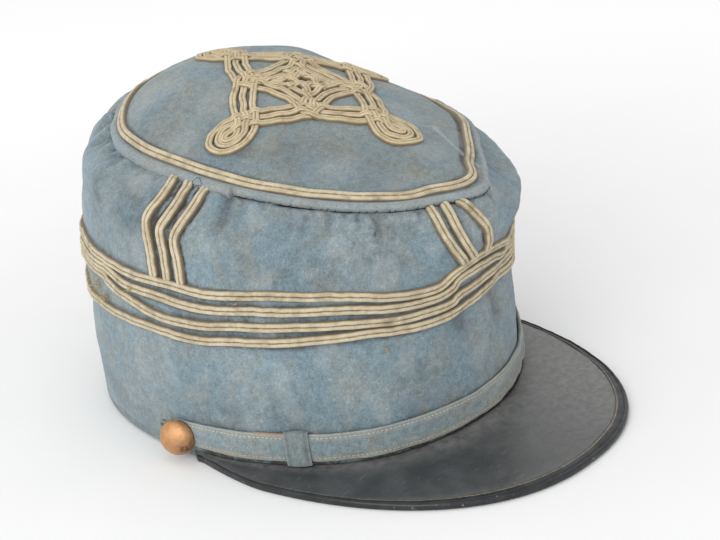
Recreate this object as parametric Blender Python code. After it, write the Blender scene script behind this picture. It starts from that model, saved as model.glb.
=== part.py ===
"""A soft field cap: a cloth crown with a gathered upper side and a domed top, trimmed with soutache
braid, with a bound leather peak and a cloth chin strap held by two metal buttons.

The model stands with the open bottom on z = 0, the peak towards -Y and the wearer's left towards +X.
Sizes are in millimetres here and become metres in make_object().
"""
import math
from collections import namedtuple
from functools import lru_cache

import bmesh
import bpy
import numpy as np

MM = 0.001
GAP = 0.35                   # clearance between pieces that touch on the real cap
STATIONS = 48                # stations round the crown, shared by every piece that follows it
OVAL = 2.15                  # exponent of the head oval, 2.0 is an ellipse

CLOTH = 2.6                  # cloth and its stiffening together
RIM_OUT = 2.2                # how far the rolled rim stands out from the braid on the top edge
RIM_DROP = 3.4               # height of the rolled rim
RIM_ROLL = 1.0               # how far the roll bulges out between the seam and the edge
RIM_LEVELS = [5.07, 5.5, 6.0]        # rows of the rolled rim, from just above the seam to the edge
DOME_SHARES = [0.93, 0.76, 0.52, 0.26]   # rows of the top, as shares of the way from the apex to the edge

BRAID_WIDTH = 4.4
BRAID_HEIGHT = 1.9
BRAID_GROOVE = 0.9
BRAID_ROWS = 4

STRAP_LOW, STRAP_HIGH = 6.2, 18.4
STRAP_THICK = 1.8
STRAP_PAST = math.radians(3.0)       # how far the strap runs past the side of the crown
STRAP_TIP = 0.3                      # share of its height left at the tip
KEEPER_WIDTH = 10.0
KEEPER_WALL = 1.2
KEEPER_CLEAR = 0.4                   # above and below the strap, inside the keeper
KEEPER_STAND = 0.15                  # extra gap, because the keeper is flat and the crown is round
KEEPER_ANGLES = {"right": 216.0, "left": 324.0}
BUTTON_RADIUS = 7.8
BUTTON_RISE = 5.8
BUTTON_SHANK = (2.6, 1.1)            # radius and height of the shank that stands on the strap
BUTTON_HEIGHT = 11.0
BUTTON_ANGLES = {"right": 183.5, "left": 356.5}
BUTTON_SIDES = 16
BUTTON_PROFILE = [(0.85, 0.0), (1.0, 0.14), (1.0, 0.32), (0.86, 0.64), (0.54, 0.89)]

PEAK_HALF_WIDTH = 92.0
PEAK_REACH = 143.0
PEAK_CENTRE_Y = -8.5
PEAK_OVAL = 2.27
PEAK_THICK = 2.0
PEAK_STATIONS = 30
PEAK_END = math.radians(5.0)         # from the side of the crown to the tip of the peak, under the button
PEAK_TAPER_LENGTH = math.radians(11.0)
PEAK_END_WIDTH = 4.2
PEAK_TOP_INSIDE, PEAK_TOP_OUTSIDE = 4.1, 2.3
BINDING_WIDTH = 2.8
BINDING_HEIGHT = 3.0
BINDING_LIP_TOP, BINDING_LIP_UNDER = 1.05, -0.95     # its inner edge, from the middle of the leather

KNOT_CENTRE = (12.0, 0.0)
KNOT_TURN = 2.7
KNOT_LOOP_AT = 47.5          # from the middle of the knot to the middle of an end loop
KNOT_BAND = 11.2             # three strands side by side
KNOT_CLEAR = 0.6             # above the smooth top, so that it clears the flat facets
KNOT_STEP = 0.11             # each band of the knot lies this much higher than the one before it
KNOT_BACK_STEP = 0.04
KNOT_GROOVE = 0.8
KNOT_LOOP = (6.6, 6.0)       # half length and half width of an end loop, along the middle strand
KNOT_NECK = 10.5             # from the middle of a loop in to where its two ends cross
KNOT_DIAGONAL = 16.8         # where the bands of two loops cross, along both axes
KNOT_PASS = 13.0             # how far beside the middle a band passes
KNOT_ROSETTE = (6.6, 8.2)    # radius and width of the small woven ring in the middle
KNOT_ROSETTE_SIDES = 10

Ring = namedtuple("Ring", "name x y front back half z lean_x lean_y saddle skew")
RINGS = [
    Ring("base",        0.0, 0.0, 94.0, 106.5, 85.0,   0.0,  0.0,  0.0, 0.0,  0.0),
    Ring("band_middle", 0.0, 2.0, 95.5, 103.5, 85.5,  29.0,  0.0,  0.0, 0.0,  0.0),
    Ring("low_braid",   0.0, 3.0, 95.5,  99.5, 85.0,  58.0,  0.5,  2.8, 1.2, -0.8),
    Ring("high_braid",  1.0, 2.5, 96.0, 100.5, 83.5,  77.0, -0.5,  5.2, 0.8,  1.5),
    Ring("shoulder",    7.0, 2.5, 98.5, 100.0, 84.0,  99.5,  2.0, 17.0, 2.0, -0.5),
    Ring("top_edge",   12.0, 1.6, 85.3,  86.0, 67.0, 116.0,  1.0, 15.0, -0.3, 1.2),
]

# The top isn't a plain oval: it juts out over the forehead, is drawn in beside that and dips
# behind the left side. The rings near it take their share of this form.
Bump = namedtuple("Bump", "angle spread out up")
TOP_EDGE_FORM = [
    Bump(30, 28, 0.0, -2.0),
    Bump(150, 16, 5.0, 0.0),
    Bump(208, 24, 0.0, 1.8),
    Bump(272, 6.4, 6.6, 0.0),
    Bump(307, 14.6, -6.9, 0.0),
]
FORM_SHARES = {"shoulder": (0.0, 0.7), "seam": (1.0, 1.0), "top_edge": (1.0, 1.0)}

BASE, BAND_MIDDLE, LOW_BRAID, HIGH_BRAID, SHOULDER, SEAM, EDGE = range(7)
JOIN = 0.5 * (LOW_BRAID + HIGH_BRAID)

# Rows of the side walls, as levels: 0 is the base ring, 1 the band_middle ring, and so on up.
BAND_LEVELS = [BASE, 0.2, 0.64, 1.4, 2.0, JOIN]
UPPER_LEVELS = [JOIN + 0.015, 2.9, 3.25, 3.6, 3.95, 4.3, 4.6, 4.83, SEAM]

Dome = namedtuple("Dome", "x y z power lean")
DOME = Dome(6.0, 17.0, 138.6, 2.35, 0.1875)      # the lean is the rise per millimetre towards the back

# Bulges (+) and folds (-) of the cloth: place, spread both ways, depth, and how the fold slants.
Fold = namedtuple("Fold", "angle spread level level_spread depth slant")
FOLDS = [
    Fold(128, 30.0, 4.45, 0.45, 4.5, 0),
    Fold(312, 26.0, 4.40, 0.45, 3.5, 0),
    Fold(116, 5.5, 4.35, 0.50, -3.2, 6),
    Fold(130, 5.0, 4.30, 0.50, -3.6, 9),
    Fold(143, 4.5, 4.40, 0.45, -2.8, 10),
    Fold(157, 5.0, 4.45, 0.40, -1.8, 6),
    Fold(297, 5.0, 4.30, 0.45, -2.6, -8),
    Fold(311, 5.0, 4.35, 0.50, -3.4, -9),
    Fold(326, 5.5, 4.30, 0.50, -3.0, -6),
    Fold(60, 6.0, 4.35, 0.45, -2.6, 4),
    Fold(30, 6.0, 4.35, 0.45, -2.2, -4),
    Fold(72, 6.0, 4.40, 0.40, -2.0, 3),
    Fold(288, 5.0, 2.35, 0.45, -1.8, 12),
]
GATHER_COUNT = 28
GATHER_DEPTH = 0.7
GATHER_LEVEL, GATHER_SPREAD = 4.75, 0.22

EDGE_BRAID_AT = 0.965        # share of the way from the apex of the top to its edge

STRIP_COUNT = 3
STRIP_CLEAR = 0.7
STRIP_ENDS = 0.6             # clearance of a strip's ends from the rim and from the highest ring
Strip = namedtuple("Strip", "name top_angle bend_angle low_angle top_step low_step")
STRIPS = [
    Strip("front", 258.5, 265.5, 270.0, 5.0, 4.5),
    Strip("right", 181.0, 181.5, 183.0, 5.0, 4.4),
    Strip("back", 90.0, 90.0, 90.0, 5.2, 4.2),
    Strip("left", 357.0, 358.5, 357.0, 5.2, 4.4),
]


def wrap_degrees(value):
    return (value + 180.0) % 360.0 - 180.0


def power_oval(angle, exponent):
    """Unit oval: a point of a superellipse for an angle in radians."""
    c, s = math.cos(angle), math.sin(angle)
    x = math.copysign(abs(c) ** (2.0 / exponent), c)
    y = math.copysign(abs(s) ** (2.0 / exponent), s)
    return x, y


def ring_point(ring, angle):
    x, y = power_oval(angle, OVAL)
    reach = ring.back if y > 0.0 else ring.front
    height = ring.z + ring.lean_x * x + ring.lean_y * y
    height += ring.saddle * math.cos(2.0 * angle) + ring.skew * math.sin(2.0 * angle)
    point = np.array([ring.x + ring.half * x, ring.y + reach * y, height])
    out_share, up_share = FORM_SHARES.get(ring.name, (0.0, 0.0))
    for bump in TOP_EDGE_FORM:
        across = wrap_degrees(math.degrees(angle) - bump.angle) / bump.spread
        share = math.exp(-0.5 * across * across)
        out = bump.out * share * out_share
        point += np.array([math.cos(angle) * out, math.sin(angle) * out, bump.up * share * up_share])
    return point


def section_rings():
    """The rings of the crown from the bottom up, with the seam under the rolled rim put in."""
    edge = RINGS[-1]
    seam = edge._replace(name="seam", front=edge.front + RIM_OUT, back=edge.back + RIM_OUT,
                         half=edge.half + RIM_OUT, z=edge.z - RIM_DROP)
    return RINGS[:-1] + [seam, edge]


def smooth_level(points, level):
    """Monotone cubic through the section points of one station."""
    steps = np.diff(points, axis=0)
    same = steps[:-1] * steps[1:] > 0.0
    total = np.where(same, steps[:-1] + steps[1:], 1.0)
    inner = np.where(same, 2.0 * steps[:-1] * steps[1:] / total, 0.0)
    slopes = np.vstack([steps[:1], inner, steps[-1:]])
    k = min(int(level), len(points) - 2)
    u = level - k
    h00 = (1 + 2 * u) * (1 - u) ** 2
    h10 = u * (1 - u) ** 2
    h01 = u * u * (3 - 2 * u)
    h11 = u * u * (u - 1)
    return h00 * points[k] + h10 * slopes[k] + h01 * points[k + 1] + h11 * slopes[k + 1]


def cloth_relief(angle, level):
    """How far the cloth stands out (+) or in (-) of the smooth form."""
    degrees = math.degrees(angle)
    relief = 0.0
    for fold in FOLDS:
        across = wrap_degrees(degrees - fold.angle - fold.slant * (level - fold.level)) / fold.spread
        along = (level - fold.level) / fold.level_spread
        relief += fold.depth * math.exp(-0.5 * (across * across + along * along))
    along = (level - GATHER_LEVEL) / GATHER_SPREAD
    relief += GATHER_DEPTH * math.cos(GATHER_COUNT * angle) * math.exp(-0.5 * along * along)
    if level > SEAM:
        return RIM_ROLL * math.sin(math.pi * (level - SEAM))
    return relief * min(1.0, (SEAM - level) * 6.0)


def smooth_point(angle, level):
    points = np.array([ring_point(ring, angle) for ring in section_rings()])
    return smooth_level(points, level)


def smooth_normal(angle, level):
    step = 1e-3
    low = max(level - step, 0.0)
    high = min(level + step, float(EDGE))
    if abs(level - SEAM) < 0.1:
        low, high = SEAM - 0.25, SEAM + 0.25
    along = smooth_point(angle, high) - smooth_point(angle, low)
    round_way = smooth_point(angle + step, level) - smooth_point(angle - step, level)
    normal = np.cross(round_way, along)
    return normal / np.linalg.norm(normal)


def crown_point(angle, level):
    return smooth_point(angle, level) + smooth_normal(angle, level) * cloth_relief(angle, level)


@lru_cache(maxsize=None)
def facet_corner(station, level):
    return crown_point(2.0 * math.pi * station / STATIONS, level)


def facet_point(angle, level):
    """A point on the flat facets of the side walls, which trim has to clear."""
    rows = BAND_LEVELS + UPPER_LEVELS[1:]
    row = max(i for i in range(len(rows) - 1) if rows[i] <= level)
    up = (level - rows[row]) / (rows[row + 1] - rows[row])
    place = angle * STATIONS / (2.0 * math.pi)
    station = math.floor(place)
    along = place - station
    first, second = station % STATIONS, (station + 1) % STATIONS
    low = facet_corner(first, rows[row]) * (1 - along) + facet_corner(second, rows[row]) * along
    high = facet_corner(first, rows[row + 1]) * (1 - along) + facet_corner(second, rows[row + 1]) * along
    return low * (1 - up) + high * up


def dome_edge(angle_about_apex):
    """The station of the top edge that lies in one direction from the apex of the dome."""
    edge = RINGS[-1]
    low, high = angle_about_apex - 0.6, angle_about_apex + 0.6
    for _ in range(40):
        middle = 0.5 * (low + high)
        point = ring_point(edge, middle)
        bearing = math.atan2(point[1] - DOME.y, point[0] - DOME.x)
        error = (bearing - angle_about_apex + math.pi) % (2 * math.pi) - math.pi
        if error < 0.0:
            low = middle
        else:
            high = middle
    return ring_point(edge, 0.5 * (low + high))


def dome_height(x, y, edge_point=None):
    """Height of the top at a place in plan."""
    reach = math.hypot(x - DOME.x, y - DOME.y)
    if edge_point is None:
        edge_point = dome_edge(math.atan2(y - DOME.y, x - DOME.x))
    full = math.hypot(edge_point[0] - DOME.x, edge_point[1] - DOME.y)
    share = min(reach / full, 1.0) ** DOME.power
    top_height = DOME.z + DOME.lean * (y - DOME.y)
    return top_height * (1.0 - share) + edge_point[2] * share


def dome_point(angle, share):
    edge_point = ring_point(RINGS[-1], angle)
    x = DOME.x + (edge_point[0] - DOME.x) * share
    y = DOME.y + (edge_point[1] - DOME.y) * share
    return np.array([x, y, dome_height(x, y, edge_point)])


def dome_normal(x, y):
    step = 0.5
    slope_x = (dome_height(x + step, y) - dome_height(x - step, y)) / (2 * step)
    slope_y = (dome_height(x, y + step) - dome_height(x, y - step)) / (2 * step)
    normal = np.array([-slope_x, -slope_y, 1.0])
    return normal / np.linalg.norm(normal)


def station_angles():
    return [2.0 * math.pi * i / STATIONS for i in range(STATIONS)]


def material(name, colour, roughness, metallic=0.0):
    made = bpy.data.materials.new(name)
    made.use_nodes = True
    shader = made.node_tree.nodes["Principled BSDF"]
    shader.inputs["Base Color"].default_value = (*colour, 1.0)
    shader.inputs["Roughness"].default_value = roughness
    shader.inputs["Metallic"].default_value = metallic
    return made


def make_object(name, points, faces, finish, sharp=40.0):
    """One named object from points in millimetres."""
    mesh = bpy.data.meshes.new(name)
    mesh.from_pydata([tuple(float(c) * MM for c in point) for point in points], [], faces)
    body = bmesh.new()
    body.from_mesh(mesh)
    bmesh.ops.recalc_face_normals(body, faces=body.faces)
    body.to_mesh(mesh)
    body.free()
    mesh.shade_smooth()
    mesh.set_sharp_from_angle(angle=math.radians(sharp))
    mesh.materials.append(finish)
    made = bpy.data.objects.new(name, mesh)
    bpy.context.scene.collection.objects.link(made)
    return made


def tube_faces(rows, columns, close_rows, close_columns):
    """Quads of a grid of rows x columns points; a side that isn't closed keeps its open edge."""
    faces = []
    for i in range(rows if close_rows else rows - 1):
        for j in range(columns if close_columns else columns - 1):
            a, b = i * columns, ((i + 1) % rows) * columns
            k = (j + 1) % columns
            faces.append((a + j, b + j, b + k, a + k))
    return faces


def end_faces(rows, columns):
    """The two end caps of a tube of rows x columns points."""
    final = (rows - 1) * columns
    return [tuple(range(columns)), tuple(final + j for j in reversed(range(columns)))]


def wall(name, rows, normals, thickness, finish, closed=True):
    """A shell from rows of outer points; its inner face is set in along the normals."""
    columns = len(rows[0])
    outer = [point for row in rows for point in row]
    inner = []
    for row, row_normals in zip(reversed(rows), reversed(normals)):
        inner += [point - normal * thickness for point, normal in zip(row, row_normals)]
    faces = tube_faces(2 * len(rows), columns, True, closed)
    if not closed:
        count = 2 * len(rows)
        for column in (0, columns - 1):
            for i in range(len(rows) - 1):
                j = count - 1 - i
                faces.append((i * columns + column, (i + 1) * columns + column,
                              (j - 1) * columns + column, j * columns + column))
    return make_object(name, outer + inner, faces, finish)


def side_wall(name, levels, finish):
    rows = [[crown_point(angle, level) for angle in station_angles()] for level in levels]
    normals = [[smooth_normal(angle, level) for angle in station_angles()] for level in levels]
    if levels[0] == BASE:
        flat = [np.array([n[0], n[1], 0.0]) / math.hypot(n[0], n[1]) for n in normals[0]]
        normals[0] = flat
    return wall(name, rows, normals, CLOTH, finish)


def lower_band(finish):
    return side_wall("lower_band", BAND_LEVELS, finish)


def upper_side(finish):
    return side_wall("upper_side", UPPER_LEVELS, finish)


def top(finish):
    """The domed top and its rolled rim: a shell with a pole in the middle."""
    angles = station_angles()
    rows = [[crown_point(angle, level) for angle in angles] for level in RIM_LEVELS]
    rows += [[dome_point(angle, share) for angle in angles] for share in DOME_SHARES]
    under = [smooth_normal(angle, SEAM) for angle in angles]
    out = [smooth_normal(angle, RIM_LEVELS[1]) for angle in angles]
    up = [dome_normal(*dome_point(angle, EDGE_BRAID_AT)[:2]) for angle in angles]
    between = [(a + b) / np.linalg.norm(a + b) for a, b in zip(up, out)]
    normals = [under, out, between]
    normals += [[dome_normal(*dome_point(angle, share)[:2]) for angle in angles] for share in DOME_SHARES]
    columns = len(angles)
    points = [point for row in rows for point in row]
    for row, row_normals in zip(reversed(rows), reversed(normals)):
        points += [point - normal * CLOTH for point, normal in zip(row, row_normals)]
    count = len(rows)
    apex = np.array([DOME.x, DOME.y, DOME.z])
    points += [apex, apex - np.array([0.0, 0.0, CLOTH])]
    faces = tube_faces(count, columns, False, True)
    faces += [tuple(v + count * columns for v in face) for face in tube_faces(count, columns, False, True)]
    last, first = (count - 1) * columns, count * columns
    end = (2 * count - 1) * columns
    pole = 2 * count * columns
    for j in range(columns):
        k = (j + 1) % columns
        faces.append((last + j, pole, last + k))
        faces.append((first + k, pole + 1, first + j))
        faces.append((j, k, end + k, end + j))
    return make_object("top", points, faces, finish)


def braid(name, lefts, rights, normals, finish, closed, clear=GAP):
    """Soutache: two ridges with a groove between, on a flat back that lies clear of the cloth.

    The back of the braid runs between the left and right edges, which lie on the cloth.
    """
    section = [(0.0, clear), (1.0, clear), (0.81, BRAID_HEIGHT), (0.5, BRAID_HEIGHT - BRAID_GROOVE),
               (0.19, BRAID_HEIGHT)]
    points = []
    for left, right, normal in zip(lefts, rights, normals):
        points += [left + (right - left) * across + normal * out for across, out in section]
    faces = tube_faces(len(lefts), len(section), closed, True)
    if not closed:
        faces += end_faces(len(lefts), len(section))
    return make_object(name, points, faces, finish, sharp=50.0)


def millimetres_per_level(angle, level):
    step = 0.02
    return np.linalg.norm(facet_point(angle, level + step) - facet_point(angle, level - step)) / (2 * step)


def millimetres_per_radian(angle, level):
    step = 0.02
    along = smooth_point(angle + step, level) - smooth_point(angle - step, level)
    return np.linalg.norm(along) / (2 * step)


@lru_cache(maxsize=None)
def braid_level(angle, share):
    """Level at a share of the height between the lowest braid ring and the highest."""
    bottom = smooth_point(angle, LOW_BRAID)[2]
    wanted = bottom + share * (smooth_point(angle, HIGH_BRAID)[2] - bottom)
    low, high = float(LOW_BRAID), float(HIGH_BRAID)
    for _ in range(20):
        middle = 0.5 * (low + high)
        if smooth_point(angle, middle)[2] < wanted:
            low = middle
        else:
            high = middle
    return 0.5 * (low + high)


def braid_rings(finish):
    """Four braids round the crown, evenly spaced between the low and the high ring."""
    for row in range(BRAID_ROWS):
        lefts, rights, normals = [], [], []
        for angle in station_angles():
            level = braid_level(angle, row / (BRAID_ROWS - 1))
            half = 0.5 * BRAID_WIDTH / millimetres_per_level(angle, level)
            lefts.append(facet_point(angle, level - half))
            rights.append(facet_point(angle, level + half))
            normals.append(smooth_normal(angle, level))
        braid(f"braid_ring_{row + 1}", lefts, rights, normals, finish, closed=True)


def strip_angle(strip, offset, share):
    """Angle of an upright braid at a share of its height: 0 at its foot, 0.5 at the bend, 1 at the rim."""
    low = strip.low_angle + offset * strip.low_step
    middle = strip.bend_angle + offset * strip.low_step
    high = strip.top_angle + offset * strip.top_step
    if share > 0.5:
        return middle + (high - middle) * (share - 0.5) * 2.0
    return low + (middle - low) * share * 2.0


def strip_levels(angle):
    """Levels of one upright braid from its foot, just above the highest ring, to the rim."""
    foot = HIGH_BRAID + (0.5 * BRAID_WIDTH + STRIP_ENDS) / millimetres_per_level(angle, HIGH_BRAID + 0.1)
    head = SEAM - STRIP_ENDS / millimetres_per_level(angle, SEAM - 0.1)
    between = [level for level in UPPER_LEVELS if foot + 0.08 < level < head - 0.08]
    return [foot] + between + [head]


def braid_strips(finish):
    """Three upright braids at the front, back and both sides, from the rim to the highest ring."""
    for strip in STRIPS:
        for i in range(STRIP_COUNT):
            offset = i - 0.5 * (STRIP_COUNT - 1)
            levels = strip_levels(math.radians(strip_angle(strip, offset, 0.0)))
            lefts, rights, normals = [], [], []
            for level in levels:
                share = (level - levels[0]) / (levels[-1] - levels[0])
                angle = math.radians(strip_angle(strip, offset, share))
                half = 0.5 * BRAID_WIDTH / millimetres_per_radian(angle, level)
                lefts.append(facet_point(angle - half, level))
                rights.append(facet_point(angle + half, level))
                normals.append(smooth_normal(angle, level))
            braid(f"braid_{strip.name}_{i + 1}", lefts, rights, normals, finish, False, STRIP_CLEAR)


def braid_top_edge(finish):
    """The braid that runs round the top just inside the rolled rim."""
    lefts, rights, normals = [], [], []
    for angle in station_angles():
        centre = dome_point(angle, EDGE_BRAID_AT)
        reach = np.linalg.norm(dome_point(angle, 1.0) - dome_point(angle, 0.9)) / 0.1
        half = 0.5 * BRAID_WIDTH / reach
        lefts.append(dome_point(angle, EDGE_BRAID_AT + half))
        rights.append(dome_point(angle, EDGE_BRAID_AT - half))
        normals.append(dome_normal(centre[0], centre[1]))
    braid("braid_top_edge", lefts, rights, normals, finish, closed=True)


def knot_half_route():
    """Plan of half of one figure of the knot, from the tip of one end loop to the tip of the other.

    It goes round one side of a loop, crosses the axis at the neck, swings out to the diagonal,
    passes beside the middle, and does the same in mirror on the way to the other loop.
    """
    loop_length, loop_width = KNOT_LOOP
    neck = KNOT_LOOP_AT - KNOT_NECK
    half = []
    for degrees in (-5, 30, 65, 100, 135):
        a = math.radians(degrees)
        half.append((KNOT_LOOP_AT + loop_length * math.cos(a), -loop_width * math.sin(a)))
    half.append((neck, 0.0))
    for share, out in ((0.25, 1.0), (0.5, 1.2), (0.75, 1.0)):
        half.append((neck + (KNOT_DIAGONAL - neck) * share + out, KNOT_DIAGONAL * share + out))
    half += [(KNOT_DIAGONAL, KNOT_DIAGONAL), (0.6 * KNOT_DIAGONAL, 0.45 * KNOT_DIAGONAL + 0.55 * KNOT_PASS),
             (0.0, KNOT_PASS)]
    other = [(-x, y) for x, y in reversed(half[:-1])]
    return half + other


def knot_strand(points, width, base, top_height, closed):
    """Flat three-ridged band along a plan route, as points and faces."""
    half = 0.5 * width
    groove = top_height - KNOT_GROOVE
    section = [(-half, base), (half, base), (0.86 * half, top_height), (half / 3, groove),
               (0.0, top_height), (-half / 3, groove), (-0.86 * half, top_height)]
    made = []
    count = len(points)
    for i, point in enumerate(points):
        before, after = points[max(i - 1, 0)], points[min(i + 1, count - 1)]
        if closed:
            before, after = points[i - 1], points[(i + 1) % count]
        along = np.array(after) - np.array(before)
        along = along / np.linalg.norm(along)
        side = np.array([-along[1], along[0]])
        made += [(*(np.array(point) + side * across), height) for across, height in section]
    faces = tube_faces(count, len(section), closed, True)
    if not closed:
        faces += end_faces(count, len(section))
    return made, faces


def union(first, second):
    """Join a second object into the first with an exact Boolean, and delete the second."""
    cut = first.modifiers.new("Join", "BOOLEAN")
    cut.operation = "UNION"
    cut.object = second
    graph = bpy.context.evaluated_depsgraph_get()
    joined = bpy.data.meshes.new_from_object(first.evaluated_get(graph))
    first.modifiers.clear()
    first.data = joined
    bpy.data.objects.remove(second)


def top_knot(finish):
    """The ornament on the top: two interlaced figures of three-strand braid, a quarter turn apart.

    A small woven ring fills the middle between them.
    """
    bodies = []
    for quarter in range(2):
        for flip in (1.0, -1.0):
            order = len(bodies)
            route = [(x, flip * y) for x, y in knot_half_route()]
            turn = math.radians(KNOT_TURN + 90.0 * quarter)
            route = [(x * math.cos(turn) - y * math.sin(turn) + KNOT_CENTRE[0],
                      x * math.sin(turn) + y * math.cos(turn) + KNOT_CENTRE[1]) for x, y in route]
            points, faces = knot_strand(route, KNOT_BAND, KNOT_CLEAR + KNOT_BACK_STEP * order,
                                        BRAID_HEIGHT + KNOT_STEP * order, closed=False)
            bodies.append(make_object(f"knot_part_{order}", points, faces, finish))
    radius, width = KNOT_ROSETTE
    ring = []
    for i in range(KNOT_ROSETTE_SIDES):
        turn = 2.0 * math.pi * i / KNOT_ROSETTE_SIDES
        ring.append((KNOT_CENTRE[0] + radius * math.cos(turn), KNOT_CENTRE[1] + radius * math.sin(turn)))
    order = len(bodies)
    points, faces = knot_strand(ring, width, KNOT_CLEAR + KNOT_BACK_STEP * order,
                                BRAID_HEIGHT + KNOT_STEP * order, closed=True)
    bodies.append(make_object("knot_rosette", points, faces, finish))
    knot = bodies[0]
    for other in bodies[1:]:
        union(knot, other)
    knot.name = "top_knot"
    for vertex in knot.data.vertices:
        x, y, height = (c / MM for c in vertex.co)
        vertex.co.z = (dome_height(x, y) + height) * MM


def peak_outline(angle):
    x, y = power_oval(angle, PEAK_OVAL)
    return np.array([PEAK_HALF_WIDTH * x, PEAK_CENTRE_Y + PEAK_REACH * y])


def peak_stations():
    """Angles of the peak from its right end round the front to its left end."""
    span = math.pi - 2.0 * PEAK_END
    main = [math.pi + PEAK_END + span * i / PEAK_STATIONS for i in range(PEAK_STATIONS + 1)]
    return main[:1] + [0.5 * (main[0] + main[1])] + main[1:-1] + [0.5 * (main[-2] + main[-1])] + main[-1:]


def peak_end_taper(angle):
    """Share of the full width that the peak keeps near its two ends, under the buttons."""
    inwards = min(angle - math.pi - PEAK_END, 2 * math.pi - PEAK_END - angle)
    return math.sin(0.5 * math.pi * min(1.0, max(0.0, inwards / PEAK_TAPER_LENGTH)))


def peak_point(angle, share, inset):
    """Plan and top height of the peak: share 0 at the crown, 1 at the outline less the inset."""
    crown = crown_point(angle, 0.12)
    clear = smooth_normal(angle, 0.12) * (GAP + 0.25)
    start = (crown + clear)[:2]
    outwards = peak_outline(angle) - start
    reach = np.linalg.norm(outwards)
    kept = max(reach * peak_end_taper(angle), PEAK_END_WIDTH)
    end = start + outwards * (kept - inset) / reach
    plan = start + (end - start) * share
    height = PEAK_TOP_INSIDE + (PEAK_TOP_OUTSIDE - PEAK_TOP_INSIDE) * share ** 1.2
    return np.array([plan[0], plan[1], height])


def peak(finish):
    """Leather peak: a thin crescent that falls a little towards its outer edge."""
    shares = [0.0, 0.3, 0.65, 1.0]
    inset = BINDING_WIDTH + GAP
    rows = [[peak_point(angle, share, inset) for angle in peak_stations()] for share in shares]
    up = np.array([0.0, 0.0, 1.0])
    normals = [[up] * len(rows[0]) for _ in rows]
    wall("peak", rows, normals, PEAK_THICK, finish, closed=False)


def peak_binding(finish):
    """The leather binding round the outer edge of the peak."""
    middle_height = PEAK_TOP_OUTSIDE - 0.5 * PEAK_THICK
    half = 0.5 * BINDING_HEIGHT
    section = [(BINDING_WIDTH, BINDING_LIP_UNDER), (0.7, 0.2 - half), (0.0, -0.4), (0.0, 0.6), (0.8, half),
               (BINDING_WIDTH, BINDING_LIP_TOP)]
    points = []
    for angle in peak_stations():
        for inset, height in section:
            plan = peak_point(angle, 1.0, inset)
            points.append(np.array([plan[0], plan[1], middle_height + height]))
    faces = tube_faces(len(peak_stations()), len(section), False, True)
    faces += end_faces(len(peak_stations()), len(section))
    make_object("peak_binding", points, faces, finish)


def strap_angles():
    """Stations of the strap: from just behind the right button round the front to the left one."""
    first, last = math.pi - STRAP_PAST, 2 * math.pi + STRAP_PAST
    between = [2 * math.pi * i / STATIONS for i in range(STATIONS // 2, STATIONS + 1)]
    near = STRAP_PAST / 2.0
    return [first, first + near] + between[:1] + [math.pi + near] + between[1:-1] \
        + [2 * math.pi - near] + between[-1:] + [last - near, last]


def strap_half_height(angle):
    """Half the height of the strap, which is rounded off at its ends behind the buttons."""
    full = 0.5 * (STRAP_HIGH - STRAP_LOW)
    beyond = min(angle - math.pi + STRAP_PAST, 2 * math.pi + STRAP_PAST - angle) / (2.0 * STRAP_PAST)
    return full * max(STRAP_TIP, math.sin(0.5 * math.pi * min(1.0, beyond)))


def strap_point(angle, height, out):
    level = height / RINGS[BAND_MIDDLE].z
    normal = smooth_normal(angle, level)
    flat = np.array([normal[0], normal[1], 0.0])
    flat = flat / np.linalg.norm(flat)
    point = crown_point(angle, level)
    return np.array([point[0], point[1], height]) + flat * out


def chin_strap(finish):
    middle = 0.5 * (STRAP_LOW + STRAP_HIGH)
    outer = GAP + STRAP_THICK
    rows, normals = [], []
    for side in (-1.0, 0.0, 1.0):
        heights = [middle + side * strap_half_height(angle) for angle in strap_angles()]
        places = list(zip(strap_angles(), heights))
        rows.append([strap_point(angle, height, outer) for angle, height in places])
        normals.append([(strap_point(angle, height, outer) - strap_point(angle, height, GAP)) / STRAP_THICK
                        for angle, height in places])
    wall("chin_strap", rows, normals, STRAP_THICK, finish, closed=False)


def strap_keeper(name, degrees, finish):
    """A cloth loop over the strap: a plate in front with a return above and below."""
    reach = 0.5 * KEEPER_WIDTH
    middle = math.radians(degrees)
    plate_in = GAP + STRAP_THICK + GAP
    low, high = STRAP_LOW - KEEPER_CLEAR, STRAP_HIGH + KEEPER_CLEAR
    section = [(low - KEEPER_WALL, GAP), (low, GAP), (low, plate_in), (high, plate_in), (high, GAP),
               (high + KEEPER_WALL, GAP), (high + KEEPER_WALL, plate_in + KEEPER_WALL),
               (low - KEEPER_WALL, plate_in + KEEPER_WALL)]
    centre = strap_point(middle, STRAP_LOW, 0.0)
    ahead = strap_point(middle + 0.01, STRAP_LOW, 0.0)
    per_radian = np.linalg.norm(ahead - centre) / 0.01
    points = []
    for step in (-1.0, 0.0, 1.0):
        angle = middle + step * reach / per_radian
        points += [strap_point(angle, height, out + KEEPER_STAND) for height, out in section]
    faces = tube_faces(3, len(section), False, True)
    faces += end_faces(3, len(section))
    make_object(name, points, faces, finish)


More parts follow.
